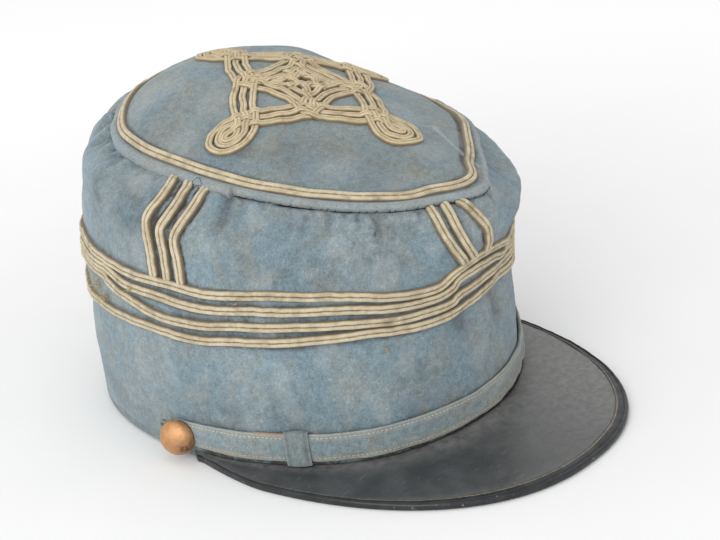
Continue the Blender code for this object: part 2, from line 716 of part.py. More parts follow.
def button(name, angle, finish):
    """A domed metal button on the end of the strap."""
    sides = BUTTON_SIDES
    shank_radius, shank = BUTTON_SHANK
    profile = [(shank_radius, 0.0), (shank_radius, shank)]
    profile += [(BUTTON_RADIUS * across, shank + BUTTON_RISE * up) for across, up in BUTTON_PROFILE]
    seat = strap_point(angle, BUTTON_HEIGHT, GAP + STRAP_THICK + GAP)
    axis = seat - strap_point(angle, BUTTON_HEIGHT, 0.0)
    axis = axis / np.linalg.norm(axis)
    up = np.array([0.0, 0.0, 1.0])
    across = np.cross(up, axis)
    points = [seat, seat + axis * (shank + BUTTON_RISE)]
    for radius, out in profile:
        for i in range(sides):
            turn = 2.0 * math.pi * i / sides
            points.append(seat + axis * out + (across * math.cos(turn) + up * math.sin(turn)) * radius)
    rings = len(profile)
    faces = [tuple(v + 2 for v in face) for face in tube_faces(rings, sides, False, True)]
    for i in range(sides):
        k = (i + 1) % sides
        faces.append((0, 2 + k, 2 + i))
        faces.append((1, 2 + (rings - 1) * sides + i, 2 + (rings - 1) * sides + k))
    make_object(name, points, faces, finish, sharp=35.0)


def centre_on_origin():
    """Move every mesh so that the whole cap is centred in plan and its lowest point is at z = 0."""
    meshes = [item for item in bpy.context.scene.objects if item.type == "MESH"]
    corners = np.array([tuple(vertex.co) for item in meshes for vertex in item.data.vertices])
    low, high = corners.min(axis=0), corners.max(axis=0)
    shift = np.array([0.5 * (low[0] + high[0]), 0.5 * (low[1] + high[1]), low[2]])
    for item in meshes:
        for vertex in item.data.vertices:
            vertex.co = [c - s for c, s in zip(vertex.co, shift)]


def main():
    for item in list(bpy.data.objects):
        bpy.data.objects.remove(item, do_unlink=True)
    cloth = material("blue_cloth", (0.20, 0.29, 0.38), 0.95)
    strap_cloth = material("strap_cloth", (0.17, 0.26, 0.33), 0.95)
    braid_wool = material("braid", (0.50, 0.45, 0.35), 0.9)
    leather = material("peak_leather", (0.03, 0.03, 0.035), 0.45)
    brass = material("button_brass", (0.52, 0.27, 0.10), 0.35, metallic=0.9)
    lower_band(cloth)
    upper_side(cloth)
    top(cloth)
    braid_rings(braid_wool)
    braid_strips(braid_wool)
    braid_top_edge(braid_wool)
    top_knot(braid_wool)
    peak(leather)
    peak_binding(leather)
    chin_strap(strap_cloth)
    for side, degrees in KEEPER_ANGLES.items():
        strap_keeper(f"strap_keeper_{side}", degrees, strap_cloth)
    for side, degrees in BUTTON_ANGLES.items():
        button(f"button_{side}", math.radians(degrees), brass)
    centre_on_origin()


main()
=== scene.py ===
"""Looks of a soft field cap: felted wool crown, soutache braid, leather peak, cloth strap, metal buttons.

Shapes are worked out in millimetres in the crown's own frame, whose base ring lies round the origin,
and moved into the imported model's frame as the meshes are made. Angles go round the crown: 180 degrees
is the wearer's right and 270 the front. Levels go up it: 0 at the bottom edge, 2 and 3 at the lowest
and the highest braid, 4 at the shoulder, 5 at the seam under the rolled rim and 6 at the top edge.
"""
import math
from collections import namedtuple

import bpy
import numpy as np
from mathutils import Matrix, Vector, kdtree


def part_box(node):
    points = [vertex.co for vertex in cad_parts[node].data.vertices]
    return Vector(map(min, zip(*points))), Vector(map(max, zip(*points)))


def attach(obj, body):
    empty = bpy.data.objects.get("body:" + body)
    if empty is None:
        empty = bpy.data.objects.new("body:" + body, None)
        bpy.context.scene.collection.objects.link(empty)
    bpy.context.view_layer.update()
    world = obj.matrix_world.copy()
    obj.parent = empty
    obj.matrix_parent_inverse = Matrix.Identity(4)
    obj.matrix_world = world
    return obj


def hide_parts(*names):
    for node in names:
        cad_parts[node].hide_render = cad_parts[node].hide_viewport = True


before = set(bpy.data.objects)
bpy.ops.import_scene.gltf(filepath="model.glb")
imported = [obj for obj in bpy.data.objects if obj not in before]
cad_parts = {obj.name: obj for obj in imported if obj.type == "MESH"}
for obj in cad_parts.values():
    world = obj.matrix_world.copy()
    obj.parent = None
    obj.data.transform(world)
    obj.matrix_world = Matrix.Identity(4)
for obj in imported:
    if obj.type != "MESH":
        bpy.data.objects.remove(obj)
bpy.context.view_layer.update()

MM = 0.001
TURN = 2.0 * math.pi
FLAT = np.array([1.0, 1.0, 0.0])
SEED = 1915
BASE_BACK = 106.5            # the back of the base ring in the crown's own frame
SHIFT = np.array([0.0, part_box("lower_band")[1].y / MM - BASE_BACK, 0.0])
GAP = 0.35
OVAL = 2.15
CLOTH = 2.6
RIM_OUT, RIM_DROP = 2.2, 3.4
RIM_ROWS = 15
LAP_ANGLE = 193.0            # where the lapped part of the rolled rim ends in a step
LOOP_RADIUS = 90.0           # of the circle on which unevenness along the crown is read

Soutache = namedtuple("Soutache", "width height sink groove lobe_points")
EDGE_BRAID = Soutache(4.4, 1.9, 0.5, 0.42, 7)
ROW_BRAID = EDGE_BRAID._replace(width=3.9)
STRAND = Soutache(3.2, 1.5, 0.35, 0.68, 6)
BRAID_ROWS = 4
EDGE_BRAID_AT = 0.965

STRAP_LOW, STRAP_HIGH = 6.2, 18.4
STRAP_THICK = 1.8
STRAP_PAST = 3.0
STRAP_TIP = 0.3
STRAP_STITCH_ROWS = (-0.74, 0.74)
STRAP_STITCH_STEP = 1.9
KEEPER_ANGLES = {"right": 216.0, "left": 324.0}
KEEPER_WIDTH = 10.0
BUTTON_HEIGHT = 11.0
BUTTON_STAND, BUTTON_TILT = 0.7, 0.34
BUTTON_ANGLES = {"right": 182.7, "left": 357.3}

PEAK_HALF_WIDTH, PEAK_REACH, PEAK_CENTRE_Y = 92.0, 143.0, -8.5
PEAK_OVAL = 2.27
PEAK_THICK = 2.0
PEAK_START, PEAK_STOP = 185.0, 355.0
PEAK_TAPER_LENGTH = 11.0
PEAK_END_WIDTH = 4.2
PEAK_TOP_INSIDE, PEAK_TOP_OUTSIDE = 4.1, 2.3
LEATHER_INSET = 2.4
BINDING_LIP = 6.3
BINDING_ROLL = 2.0           # inset within which the binding's roll keeps its size all the way round

KNOT_CENTRE = (13.2, 0.9)
KNOT_TURN = 3.7
KNOT_LIFT = 1.15
KNOT_LOOP_AT = 48.0
KNOT_LOOP = (6.8, 5.3)       # half length and half width of an end loop, along the middle strand
KNOT_NECK = 10.5             # from the middle of a loop in to where its two ends cross
KNOT_DIAGONAL = 16.8         # where the bands of two loops cross, along both axes
KNOT_PASS = 13.2             # how far beside the middle a band passes
ROSETTES = [(7.9, 3.9, 45.0), (7.2, 2.6, 0.0)]      # turning radii and turn of the woven middle's figures
FAR_SIDE, FAR_SHRINK = 36.0, 0.2      # the knot is drawn in a little beyond this on the left side
STRAND_PITCH = 3.45

# The last two columns are the shares of the top edge's form, out and up, that a ring takes.
Ring = namedtuple("Ring", "x y front back half z lean_x lean_y saddle skew form_out form_up")
RINGS = [Ring(*row) for row in (
    (0.0, 0.0, 94.0, 106.5, 85.0,   0.0,  0.0,  0.0, 0.0,  0.0, 0.0, 0.0),
    (0.0, 2.0, 95.5, 103.5, 85.5,  29.0,  0.0,  0.0, 0.0,  0.0, 0.0, 0.0),
    (0.0, 3.0, 95.5,  99.5, 85.0,  58.0,  0.5,  2.8, 1.2, -0.8, 0.0, 0.0),
    (1.0, 2.5, 96.0, 100.5, 83.5,  77.0, -0.5,  5.2, 0.8,  1.5, 0.0, 0.0),
    (7.0, 2.5, 98.5, 100.0, 84.0,  99.5,  2.0, 17.0, 2.0, -0.5, 0.0, 0.7),
    (12.0, 1.6, 85.3, 86.0, 67.0, 116.0,  1.0, 15.0, -0.3, 1.2, 1.0, 1.0),
)]
EDGE_RING = RINGS[-1]
SEAM_RING = EDGE_RING._replace(front=EDGE_RING.front + RIM_OUT, back=EDGE_RING.back + RIM_OUT,
                               half=EDGE_RING.half + RIM_OUT, z=EDGE_RING.z - RIM_DROP)
RINGS.insert(-1, SEAM_RING)
LOW_BRAID, HIGH_BRAID, SEAM, EDGE = 2, 3, 5, 6
LEVEL_HEIGHTS = [0.0, 29.0, 58.0, 77.0, 99.5, 114.0, 118.0]
MM_PER_DEGREE = 1.6
BRAID_SPACE = 19.0           # between the lowest row of braid and the highest

# The top isn't a plain oval: it juts out over the forehead, is drawn in beside that and dips
# behind the left side. The rings near it take their share of this form.
Bump = namedtuple("Bump", "angle spread out up")
TOP_EDGE_FORM = [Bump(*row) for row in (
    (10, 18, 0.0, -4.4),
    (332, 14, 0.0, -0.8),
    (150, 16, 5.0, 0.0),
    (208, 24, 0.0, 1.8),
    (272, 6.4, 6.6, 0.0),
    (307, 14.6, -6.9, 0.0),
)]

Dome = namedtuple("Dome", "x y z power lean")
DOME = Dome(13.5, 14.0, 137.3, 2.48, 0.207)      # the lean is the rise per millimetre towards the back

# Broad bulges (+) and folds (-) of the cloth: place, spread both ways, depth, and how the fold slants.
Fold = namedtuple("Fold", "angle spread level level_spread depth slant")
FOLDS = [Fold(*row) for row in (
    (128, 30.0, 4.45, 0.45, 4.5, 0),
    (312, 26.0, 4.10, 0.42, 0.8, 0),
    (318, 20.0, 4.58, 0.28, -2.2, 0),
    (116, 5.5, 4.35, 0.50, -3.2, 6),
    (130, 5.0, 4.30, 0.50, -3.6, 9),
    (143, 4.5, 4.40, 0.45, -2.8, 10),
    (157, 5.0, 4.45, 0.40, -1.8, 6),
    (297, 5.0, 4.45, 0.35, -1.4, -8),
    (311, 4.5, 4.60, 0.28, -1.6, -9),
    (326, 5.5, 4.55, 0.30, -1.4, -6),
    (60, 6.0, 4.35, 0.45, -2.6, 4),
    (30, 6.0, 4.35, 0.45, -2.2, -4),
    (72, 6.0, 4.40, 0.40, -2.0, 3),
    (288, 5.0, 2.35, 0.45, -1.8, 12),
)]

# Sharp creases: a valley from one place to another, with a ridge along one side of it.
Crease = namedtuple("Crease", "angle0 level0 angle1 level1 width depth ridge")
CREASES = [Crease(*row) for row in (
    (131, 5.00, 127, 4.35, 1.9, 2.1, 1.5),
    (143, 5.00, 135, 4.30, 1.8, 2.2, 1.5),
    (150, 5.00, 145, 4.55, 1.5, 1.5, 1.0),
    (156, 5.00, 151, 4.60, 1.5, 1.5, 0.9),
    (164, 5.00, 161, 4.80, 1.4, 1.0, 0.5),
    (119, 5.00, 117, 4.50, 1.9, 1.4, 0.9),
    (105, 5.00, 104, 4.60, 1.9, 1.2, 0.7),
    (193, 4.96, 196, 4.30, 1.9, 1.3, 0.9),
    (176, 3.96, 171, 3.82, 2.2, 1.0, 0.3),
    (222, 4.97, 223, 4.60, 1.5, 0.6, 0.4),
    (231, 4.97, 231, 4.72, 1.2, 0.9, 0.5),
    (235, 4.97, 238, 4.55, 1.4, 1.0, 0.6),
    (245, 4.97, 245, 4.55, 1.5, 0.9, 0.5),
    (274, 4.98, 277, 4.62, 1.4, 1.3, 0.9),
    (286, 4.97, 290, 4.60, 1.6, 0.7, 0.4),
    (309, 5.00, 306, 4.45, 1.6, 1.1, 0.8),
    (326, 4.97, 330, 4.60, 1.9, 0.7, 0.4),
    (214, 4.98, 214, 4.84, 1.0, 0.9, 0.3),
    (218, 4.98, 218, 4.80, 1.0, 0.9, 0.3),
    (227, 4.98, 227, 4.82, 1.0, 1.0, 0.4),
    (239, 4.98, 240, 4.80, 1.0, 0.9, 0.3),
    (250, 4.98, 251, 4.78, 1.2, 0.9, 0.4),
    (266, 1.96, 268, 1.55, 3.0, 1.1, 0.2),
    (281, 1.90, 284, 1.35, 3.5, 1.0, 0.3),
)]
GATHERS = 58                 # small puckers under the seam, all the way round
STITCH_STEP = 3.9            # between the hand stitches of the seam

Strip = namedtuple("Strip", "name angles levels")
STRIPS = [
    Strip("right_1", (176.2, 178.0, 177.9, 179.3, 180.1), (4.99, 4.47, 4.0, 3.5, 3.05)),
    Strip("right_2", (180.3, 182.2, 181.5, 183.1, 184.0), (4.99, 4.41, 3.9, 3.5, 3.05)),
    Strip("right_3", (185.5, 186.4, 185.4, 187.2, 188.5), (4.99, 4.41, 3.87, 3.5, 3.05)),
    Strip("front_1", (254.0, 257.3, 261.5, 265.5, 266.8), (4.99, 4.45, 4.0, 3.54, 3.05)),
    Strip("front_2", (259.0, 261.7, 265.5, 269.0, 270.4), (4.99, 4.47, 4.0, 3.57, 3.05)),
    Strip("front_3", (263.8, 267.5, 271.5, 273.5, 275.2), (4.99, 4.65, 4.26, 3.69, 3.05)),
    Strip("back_1", (84.6, 85.4, 85.8, 85.8), (4.95, 4.3, 3.6, 3.1)),
    Strip("back_2", (90.0, 90.3, 90.0, 90.0), (4.95, 4.3, 3.6, 3.1)),
    Strip("back_3", (95.2, 94.8, 94.2, 94.2), (4.95, 4.3, 3.6, 3.1)),
    Strip("left_1", (351.8, 353.6, 352.9, 352.6), (4.95, 4.3, 3.6, 3.1)),
    Strip("left_2", (357.0, 358.0, 357.4, 357.0), (4.95, 4.3, 3.6, 3.1)),
    Strip("left_3", (2.2, 2.5, 1.8, 1.4), (4.95, 4.3, 3.6, 3.1)),
]

# How far the rows of braid, from the lowest up, are pushed up or down where they aren't evenly spaced.
ROW_ANGLES = (106, 130, 157, 163, 173, 183, 194, 207, 232, 248, 259, 264, 267, 279, 294, 312)
ROW_RISES = [
    (0.0, -1.4, -2.0, -2.3, -1.0, -0.6, -0.6, 2.2, 4.4, 3.0, 1.7, 1.9, 2.6, 3.8, 1.5, 0.0),
    (0.0, 3.4, 5.0, 3.1, 1.0, -1.4, -0.7, 1.8, 2.8, 0.9, 0.0, 1.0, 3.4, 4.0, 0.6, 0.0),
    (0.0, 1.6, 2.1, 1.4, 0.3, 0.0, 0.1, 1.5, 2.3, -0.4, -0.4, 1.4, 4.7, 4.6, 0.0, 0.0),
    (0.0, 0.4, -0.3, -1.1, -1.0, -0.3, -0.6, 0.7, 1.0, -1.9, -2.1, 1.8, 3.6, 4.9, 0.2, 0.0),
]

# Stains of the cloth: place, size in millimetres, and strength.
Stain = namedtuple("Stain", "angle level size strength")
STAINS = [Stain(*row) for row in (
    (156, 3.90, 5.0, 0.5),
    (171, 3.95, 6.0, 0.5),
    (216, 3.80, 9.0, 0.4),
    (224, 3.60, 8.0, 0.35),
    (240, 4.30, 10.0, 0.35),
    (205, 3.70, 8.0, 0.25),
    (193, 0.50, 12.0, 0.5),
    (215, 0.80, 10.0, 0.35),
    (250, 1.20, 9.0, 0.25),
    (262, 4.00, 7.0, 0.35),
    (236, 4.56, 0.7, 1.0),
    (253, 3.84, 0.8, 1.0),
)]
BLURRED_STAIN = 2.0          # stains over this size have uneven edges

# The same on the top, placed by plan.
TopStain = namedtuple("TopStain", "x y size strength")
TOP_STAINS = [TopStain(*row) for row in (
    (-28.0, -29.0, 6.0, 0.32),
    (-11.0, -57.0, 7.0, 0.28),
    # the third spot, under the knot's lower-left loop, is partly dirt and partly a painted shadow of the loop
    (-39.0, -12.0, 3.2, 0.55),
    (-16.0, -40.0, 5.0, 0.22),
    (38.0, -62.0, 8.0, 0.22),
)]
TOP_FOLD = np.array([(41.0, -47.0), (32.0, -83.0)])       # the two ends of a worn crease of the top

Tuft = namedtuple("Tuft", "angle level count length spread")
TUFTS = [Tuft(*row) for row in (
    (152.0, 2.34, 20, 2.0, 1.0),
    (156.0, 2.22, 44, 2.4, 1.1),
    (161.0, 2.12, 40, 2.4, 1.0),
    (174.0, 2.66, 14, 2.2, 0.4),
    (204.0, 2.86, 7, 1.2, 0.3),
    (243.0, 1.84, 12, 1.4, 0.35),
    (170.0, 2.32, 8, 1.4, 0.4),
)]

StitchStation = namedtuple("StitchStation", "share girth lift")
STITCH_FORM = StitchStation(*np.array([
    (0.0, 0.25, -0.6),
    (0.12, 0.85, 0.15),
    (0.35, 1.0, 0.9),
    (0.65, 1.0, 0.9),
    (0.88, 0.85, 0.15),
    (1.0, 0.25, -0.6),
]).T)


def smoothstep(value, low, high):
    u = np.clip((value - low) / (high - low), 0.0, 1.0)
    return u * u * (3.0 - 2.0 * u)


def fade(value, low, high):
    return 1.0 - smoothstep(value, low, high)


def window(value, start, full, fall, end):
    """Rises from start to full, and falls from fall to end."""
    return smoothstep(value, start, full) * fade(value, fall, end)


def gauss(value):
    return np.exp(-0.5 * value * value)


def unit(vectors):
    return vectors / np.linalg.norm(vectors, axis=-1, keepdims=True)


def wrap_degrees(value):
    return (value + 180.0) % 360.0 - 180.0


def circle(angle, radius, height=0.0):
    return np.stack(np.broadcast_arrays(radius * np.cos(angle), radius * np.sin(angle), height), axis=-1)


def all_round(count):
    return np.linspace(0.0, TURN, count, endpoint=False)


def height_of(level):
    return np.interp(level, range(len(LEVEL_HEIGHTS)), LEVEL_HEIGHTS)


def smooth_curve(values, per_span, closed=False):
    """Catmull-Rom curve through rows of values."""
    values = np.asarray(values, float)
    count = len(values)
    u = np.linspace(0.0, 1.0, per_span, endpoint=False)[:, None]
    made = []
    for i in range(count if closed else count - 1):
        places = [(i + k) % count if closed else min(max(i + k, 0), count - 1) for k in (-1, 0, 1, 2)]
        a, b, c, d = values[places]
        made.append(0.5 * (2 * b + (c - a) * u + (2 * a - 5 * b + 4 * c - d) * u ** 2
                           + (3 * b - a - 3 * c + d) * u ** 3))
    return np.concatenate(made if closed else made + [values[-1:]])


def bisect(low, high, is_under, rounds=24):
    """Narrows a span down to where is_under turns from true to false."""
    for _ in range(rounds):
        middle = 0.5 * (low + high)
        under = is_under(middle)
        low, high = np.where(under, middle, low), np.where(under, high, middle)
    return 0.5 * (low + high)


def waves(points, length, seed, count=22):
    """Smooth noise, mostly within -1 to 1, with features about that length across."""
    random = np.random.default_rng(SEED + seed)
    directions = unit(random.normal(size=(count, 3)))
    steps = random.uniform(0.7, 1.5, count) * TURN / length
    phases = random.uniform(0.0, TURN, count)
    total = np.zeros(points.shape[:-1])
    for direction, step, phase in zip(directions, steps, phases):
        total += np.sin(points @ direction * step + phase)
    return total * math.sqrt(1.0 / count)


def power_oval(angle, exponent):
    c, s = np.cos(angle), np.sin(angle)
    return np.sign(c) * np.abs(c) ** (2.0 / exponent), np.sign(s) * np.abs(s) ** (2.0 / exponent)


def ring_point(ring, angle):
    x, y = power_oval(angle, OVAL)
    reach = np.where(y > 0.0, ring.back, ring.front)
    height = (ring.z + ring.lean_x * x + ring.lean_y * y
              + ring.saddle * np.cos(2.0 * angle) + ring.skew * np.sin(2.0 * angle))
    point = np.stack([ring.x + ring.half * x, ring.y + reach * y, height], axis=-1)
    for bump in TOP_EDGE_FORM:
        share = gauss(wrap_degrees(np.degrees(angle) - bump.angle) / bump.spread)
        point = point + circle(angle, ring.form_out * bump.out * share, ring.form_up * bump.up * share)
    return point


def smooth_point(angle, level):
    """Monotone cubic up the crown through the rings, at arrays of angles (radians) and levels."""
    angle, level = np.broadcast_arrays(np.asarray(angle, float), np.asarray(level, float))
    points = np.stack([ring_point(ring, angle) for ring in RINGS])
    steps = np.diff(points, axis=0)
    same = steps[:-1] * steps[1:] > 0.0
    total = np.where(same, steps[:-1] + steps[1:], 1.0)
    inner = np.where(same, 2.0 * steps[:-1] * steps[1:] / total, 0.0)
    slopes = np.concatenate([steps[:1], inner, steps[-1:]])
    k = np.clip(level.astype(int), 0, len(points) - 2)[None, ..., None]
    u = (level - k[0, ..., 0])[..., None]

    def pick(values, index):
        return np.take_along_axis(values, np.broadcast_to(index, (1, *level.shape, 3)), axis=0)[0]

    return ((1 + 2 * u) * (1 - u) ** 2 * pick(points, k) + u * (1 - u) ** 2 * pick(slopes, k)
            + u * u * (3 - 2 * u) * pick(points, k + 1) + u * u * (u - 1) * pick(slopes, k + 1))


def smooth_normal(angle, level, step=1e-3, seam_step=0.25):
    near_seam = np.abs(np.asarray(level, float) - SEAM) < 0.1
    low = np.where(near_seam, SEAM - seam_step, np.maximum(level - step, 0.0))
    high = np.where(near_seam, SEAM + seam_step, np.minimum(level + step, EDGE))
    along = smooth_point(angle, high) - smooth_point(angle, low)
    round_way = smooth_point(angle + step, level) - smooth_point(angle - step, level)
    return unit(np.cross(round_way, along))


def gather_creases():
    """Small puckers where the cloth is gathered into the seam, in uneven sizes."""
    random = np.random.default_rng(SEED)
    start = 4.97
    made = []
    for i in range(GATHERS):
        angle = 360.0 * (i + random.uniform(-0.35, 0.35)) / GATHERS
        reach = random.uniform(0.18, 0.6)
        lean = random.uniform(-2.5, 2.5)
        depth = random.uniform(0.25, 0.75)
        width = random.uniform(1.0, 1.9)
        made.append(Crease(angle, start, angle + lean, start - reach, width, depth, 0.6 * depth))
    return made


CREASES += gather_creases()


def crease_fields(degrees, level):
    """Relief of the sharp creases, and how deep in one a place is, from 0 to 1."""
    height = height_of(level)
    relief, depth = np.zeros((2, *height.shape))
    for crease in CREASES:
        start, end = height_of([crease.level0, crease.level1])
        run = wrap_degrees(crease.angle1 - crease.angle0) * MM_PER_DEGREE
        rise = end - start
        u = wrap_degrees(degrees - crease.angle0) * MM_PER_DEGREE
        w = height - start
        share = (u * run + w * rise) / (run * run + rise * rise)
        across = (u * rise - w * run) / math.hypot(run, rise)
        faded = gauss(np.maximum(0.0, np.abs(share - 0.35) - 0.35) / 0.22)
        valley = gauss(across / crease.width) * faded
        ridge = gauss((across - 2.1 * crease.width) / crease.width) * faded
        relief += crease.ridge * ridge - crease.depth * valley
        depth = np.maximum(depth, valley * min(1.0, crease.depth))
    return relief, depth


def cloth_relief(angle, level, point):
    """How far the side cloth stands out (+) or in (-) of the smooth form, and how creased it is."""
    degrees = np.degrees(angle)
    relief, creased = crease_fields(degrees, level)
    for fold in FOLDS:
        across = wrap_degrees(degrees - fold.angle - fold.slant * (level - fold.level)) / fold.spread
        relief += fold.depth * gauss(across) * gauss((level - fold.level) / fold.level_spread)
    relief += 0.45 * waves(point, 46.0, 1) + 0.22 * waves(point, 17.0, 2) + 0.08 * waves(point, 5.5, 3)
    tuck = np.minimum(1.0, (SEAM - level) * 7.0)
    ragged = np.clip(0.6 + 0.5 * waves(point, 8.0, 7), 0.1, 1.3)
    return relief * tuck * smoothstep(level, 0.0, 0.25) - ragged * (1.0 - tuck), creased


def crown(angle, level, out=0.0):
    """Place on the side cloth, moved out along the normal, in millimetres."""
    angle, level = np.broadcast_arrays(np.asarray(angle, float), np.asarray(level, float))
    point = smooth_point(angle, level)
    relief, _ = cloth_relief(angle, level, point)
    return point + smooth_normal(angle, level) * (relief + out)[..., None]


def crown_normal(angle, level, step=0.016):
    """Normal of the cloth with its folds, read over a little more than a millimetre."""
    high = np.minimum(level + 0.04, SEAM - 0.02)
    along = crown(angle, high) - crown(angle, high - 0.08)
    return unit(np.cross(crown(angle + step, level) - crown(angle - step, level), along))


def row_level(row, angle):
    """Level of a row of braid, with its rises and a slight unevenness."""
    chart = smooth_curve(list(zip(ROW_ANGLES, ROW_RISES[row])), 12)
    rise = np.interp(np.degrees(angle) % 360.0, chart[:, 0], chart[:, 1], left=0.0, right=0.0)
    rise = rise + 0.22 * waves(circle(angle, LOOP_RADIUS, 40.0 * row), 30.0, 10 + row)
    bottom, top = (smooth_point(angle, ring)[..., 2] for ring in (LOW_BRAID, HIGH_BRAID))
    wanted = bottom + (row / (BRAID_ROWS - 1) + rise / BRAID_SPACE) * (top - bottom)

    def is_under(level):
        return smooth_point(angle, level)[..., 2] < wanted

    return bisect(LOW_BRAID - 0.5, HIGH_BRAID + 0.5, is_under)


def edge_share(angle):
    """Where the edge braid lies across the top: further in at the front corner than elsewhere."""
    return EDGE_BRAID_AT - 0.024 * gauss(wrap_degrees(np.degrees(angle) - 284.0) / 12.0)


def dome_edge(bearing):
    """The station of the top edge that lies in one direction from the apex of the dome."""
    def is_under(angle):
        point = ring_point(EDGE_RING, angle)
        error = np.arctan2(point[..., 1] - DOME.y, point[..., 0] - DOME.x) - bearing
        return (error + math.pi) % TURN - math.pi < 0.0

    return ring_point(EDGE_RING, bisect(bearing - 0.6, bearing + 0.6, is_under))


def dome_relief(x, y, share):
    """Soft unevenness of the top, which the edge braid draws in all round."""
    point = np.stack([x, y, 0 * x], axis=-1)
    uneven = 0.7 * waves(point, 52.0, 4) + 0.25 * waves(point, 19.0, 5) + 0.05 * waves(point, 6.0, 6)
    bearing = np.degrees(np.arctan2(y - DOME.y, x - DOME.x))
    depth = 0.5 + 1.3 * window(bearing, -46.0, -34.0, 104.0, 116.0)
    return uneven * smoothstep(1.0 - share, 0.02, 0.14) - depth * gauss((share - EDGE_BRAID_AT) / 0.035)


def dome_height(x, y, edge_point=None):
    if edge_point is None:
        edge_point = dome_edge(np.arctan2(y - DOME.y, x - DOME.x))
    full = np.hypot(edge_point[..., 0] - DOME.x, edge_point[..., 1] - DOME.y)
    reach = np.minimum(np.hypot(x - DOME.x, y - DOME.y) / full, 1.0)
    share = reach ** DOME.power
    top_height = DOME.z + DOME.lean * (y - DOME.y)
    return top_height * (1.0 - share) + edge_point[..., 2] * share + dome_relief(x, y, reach)


def dome_point(angle, share):
    edge_point = ring_point(EDGE_RING, angle)
    x = DOME.x + (edge_point[..., 0] - DOME.x) * share
    y = DOME.y + (edge_point[..., 1] - DOME.y) * share
    return np.stack([x, y, dome_height(x, y, edge_point)], axis=-1)


def dome_normal(x, y, step=1.2):
    slope_x = (dome_height(x + step, y) - dome_height(x - step, y)) / (2 * step)
    slope_y = (dome_height(x, y + step) - dome_height(x, y - step)) / (2 * step)
    return unit(np.stack([-slope_x, -slope_y, np.ones_like(x)], axis=-1))


def along_lengths(path, closed=False):
    ends = np.concatenate([path, path[:1]]) if closed else path
    steps = np.linalg.norm(np.diff(ends, axis=0), axis=-1)
    return np.concatenate([[0.0], np.cumsum(steps)])


def resample(values, path, step, closed=False):
    """Rows of values at even steps along a path."""
    lengths = along_lengths(path, closed)
    count = max(8, int(round(lengths[-1] / step)))
    places = np.linspace(0.0, lengths[-1], count, endpoint=not closed)
    ends = np.concatenate([values, values[:1]]) if closed else values
    return np.stack([np.interp(places, lengths, column) for column in ends.T], axis=-1)


def sweep(path, normals, section, closed, scale=1.0):
    """Points of a section of (across, out) swept along a path on a surface with those normals."""
    tangents = np.roll(path, -1, axis=0) - np.roll(path, 1, axis=0) if closed else np.gradient(path, axis=0)
    tangents = unit(tangents)
    side = unit(np.cross(normals, tangents))
    normal = np.cross(tangents, side)
    section = np.asarray(section) * np.reshape(scale, (-1, 1, 1))
    return path[:, None] + side[:, None] * section[..., :1] + normal[:, None] * section[..., 1:]


def grid_faces(grid, route, closed, across):
    """Outward faces of one sweep, and the place of their corners on the unrolled surface."""
    rows, columns = grid.shape[:2]
    along = along_lengths(route, closed)
    i, j = np.meshgrid(np.arange(rows if closed else rows - 1), np.arange(columns), indexing="ij")
    corner_rows = np.stack([i, i + 1, i + 1, i], axis=-1).reshape(-1, 4)
    corner_columns = np.stack([j, j, j + 1, j + 1], axis=-1).reshape(-1, 4)
    faces = (corner_rows % rows) * columns + corner_columns % columns
    coords = np.stack([along[corner_rows], across[corner_columns]], axis=-1)
    points = grid.reshape(-1, 3) - grid.mean(axis=(0, 1))
    a, b, c, d = (points[faces[:, k]] for k in range(4))
    way = 1 if np.sum(a * np.cross(b, c)) + np.sum(a * np.cross(c, d)) > 0.0 else -1
    faces, coords = faces[:, ::way].tolist(), coords[:, ::way].reshape(-1, 2)
    if not closed:
        first = np.arange(columns)
        final = (rows - 1) * columns + first[::-1]
        faces += [first[::way].tolist(), final[::way].tolist()]
        coords = np.concatenate([coords, np.zeros((2 * columns, 2))])
    return faces, coords


def make_piece(name, grids, finish, closed=False, routes=None, across=None, marks=None, nodes=()):
    """One piece of one or more sweeps, riding on the only body. Open sweeps get flat caps.

    Each sweep is a grid of points in millimetres: rows follow its route, and columns go round its
    section. marks holds values per point of a piece with one sweep, which its material reads.
    """
    faces, coords, start = [], [], 0
    for number, grid in enumerate(grids):
        route = routes[number] if routes else grid[:, grid.shape[1] // 2]
        section = along_lengths(grid[len(grid) // 2], True) if across is None else across
        made, where = grid_faces(grid, route, closed, section)
        faces += [[corner + start for corner in face] for face in made]
        coords.append(where)
        start += grid.shape[0] * grid.shape[1]
    points = np.concatenate([grid.reshape(-1, 3) for grid in grids])
    mesh = bpy.data.meshes.new(name)
    mesh.from_pydata(((points + SHIFT) * MM).tolist(), [], faces)
    mesh.uv_layers.new(name="UVMap").data.foreach_set("uv", np.concatenate(coords).astype(np.float32).ravel())
    for mark, values in (marks or {}).items():
        spread = np.broadcast_to(values, grids[0].shape[:2]).astype(np.float32)
        mesh.attributes.new(mark, "FLOAT", "POINT").data.foreach_set("value", spread.ravel())
    mesh.shade_smooth()
    mesh.materials.append(finish)
    piece = bpy.data.objects.new(name, mesh)
    bpy.context.scene.collection.objects.link(piece)
    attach(piece, "root")
    if nodes:
        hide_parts(*nodes)


def soutache(path, normals, closed, form, scale=1.0):
    """Grid of a braid of two rounded ridges with a groove between, and its coordinates across, -1 to 1."""
    section = [(-0.5 * form.width, -form.sink)]
    for side in (-1, 1):
        for k in range(form.lobe_points):
            turn = math.pi * (1.0 - k / (form.lobe_points - 1))
            lift = math.sin(turn) ** 0.8 if 0 < k < form.lobe_points - 1 else 0.0
            floor = form.groove if (k - form.lobe_points / 2) * side < 0 else 0.12
            section.append((0.25 * form.width * (side + math.cos(turn)),
                            form.height * (lift * (1 - floor) + floor)))
    section = np.array(section + [(0.5 * form.width, -form.sink)])
    across = 2.0 * section[:, 0] / form.width
    return sweep(path, normals, section, closed, scale), np.append(across, across[0])


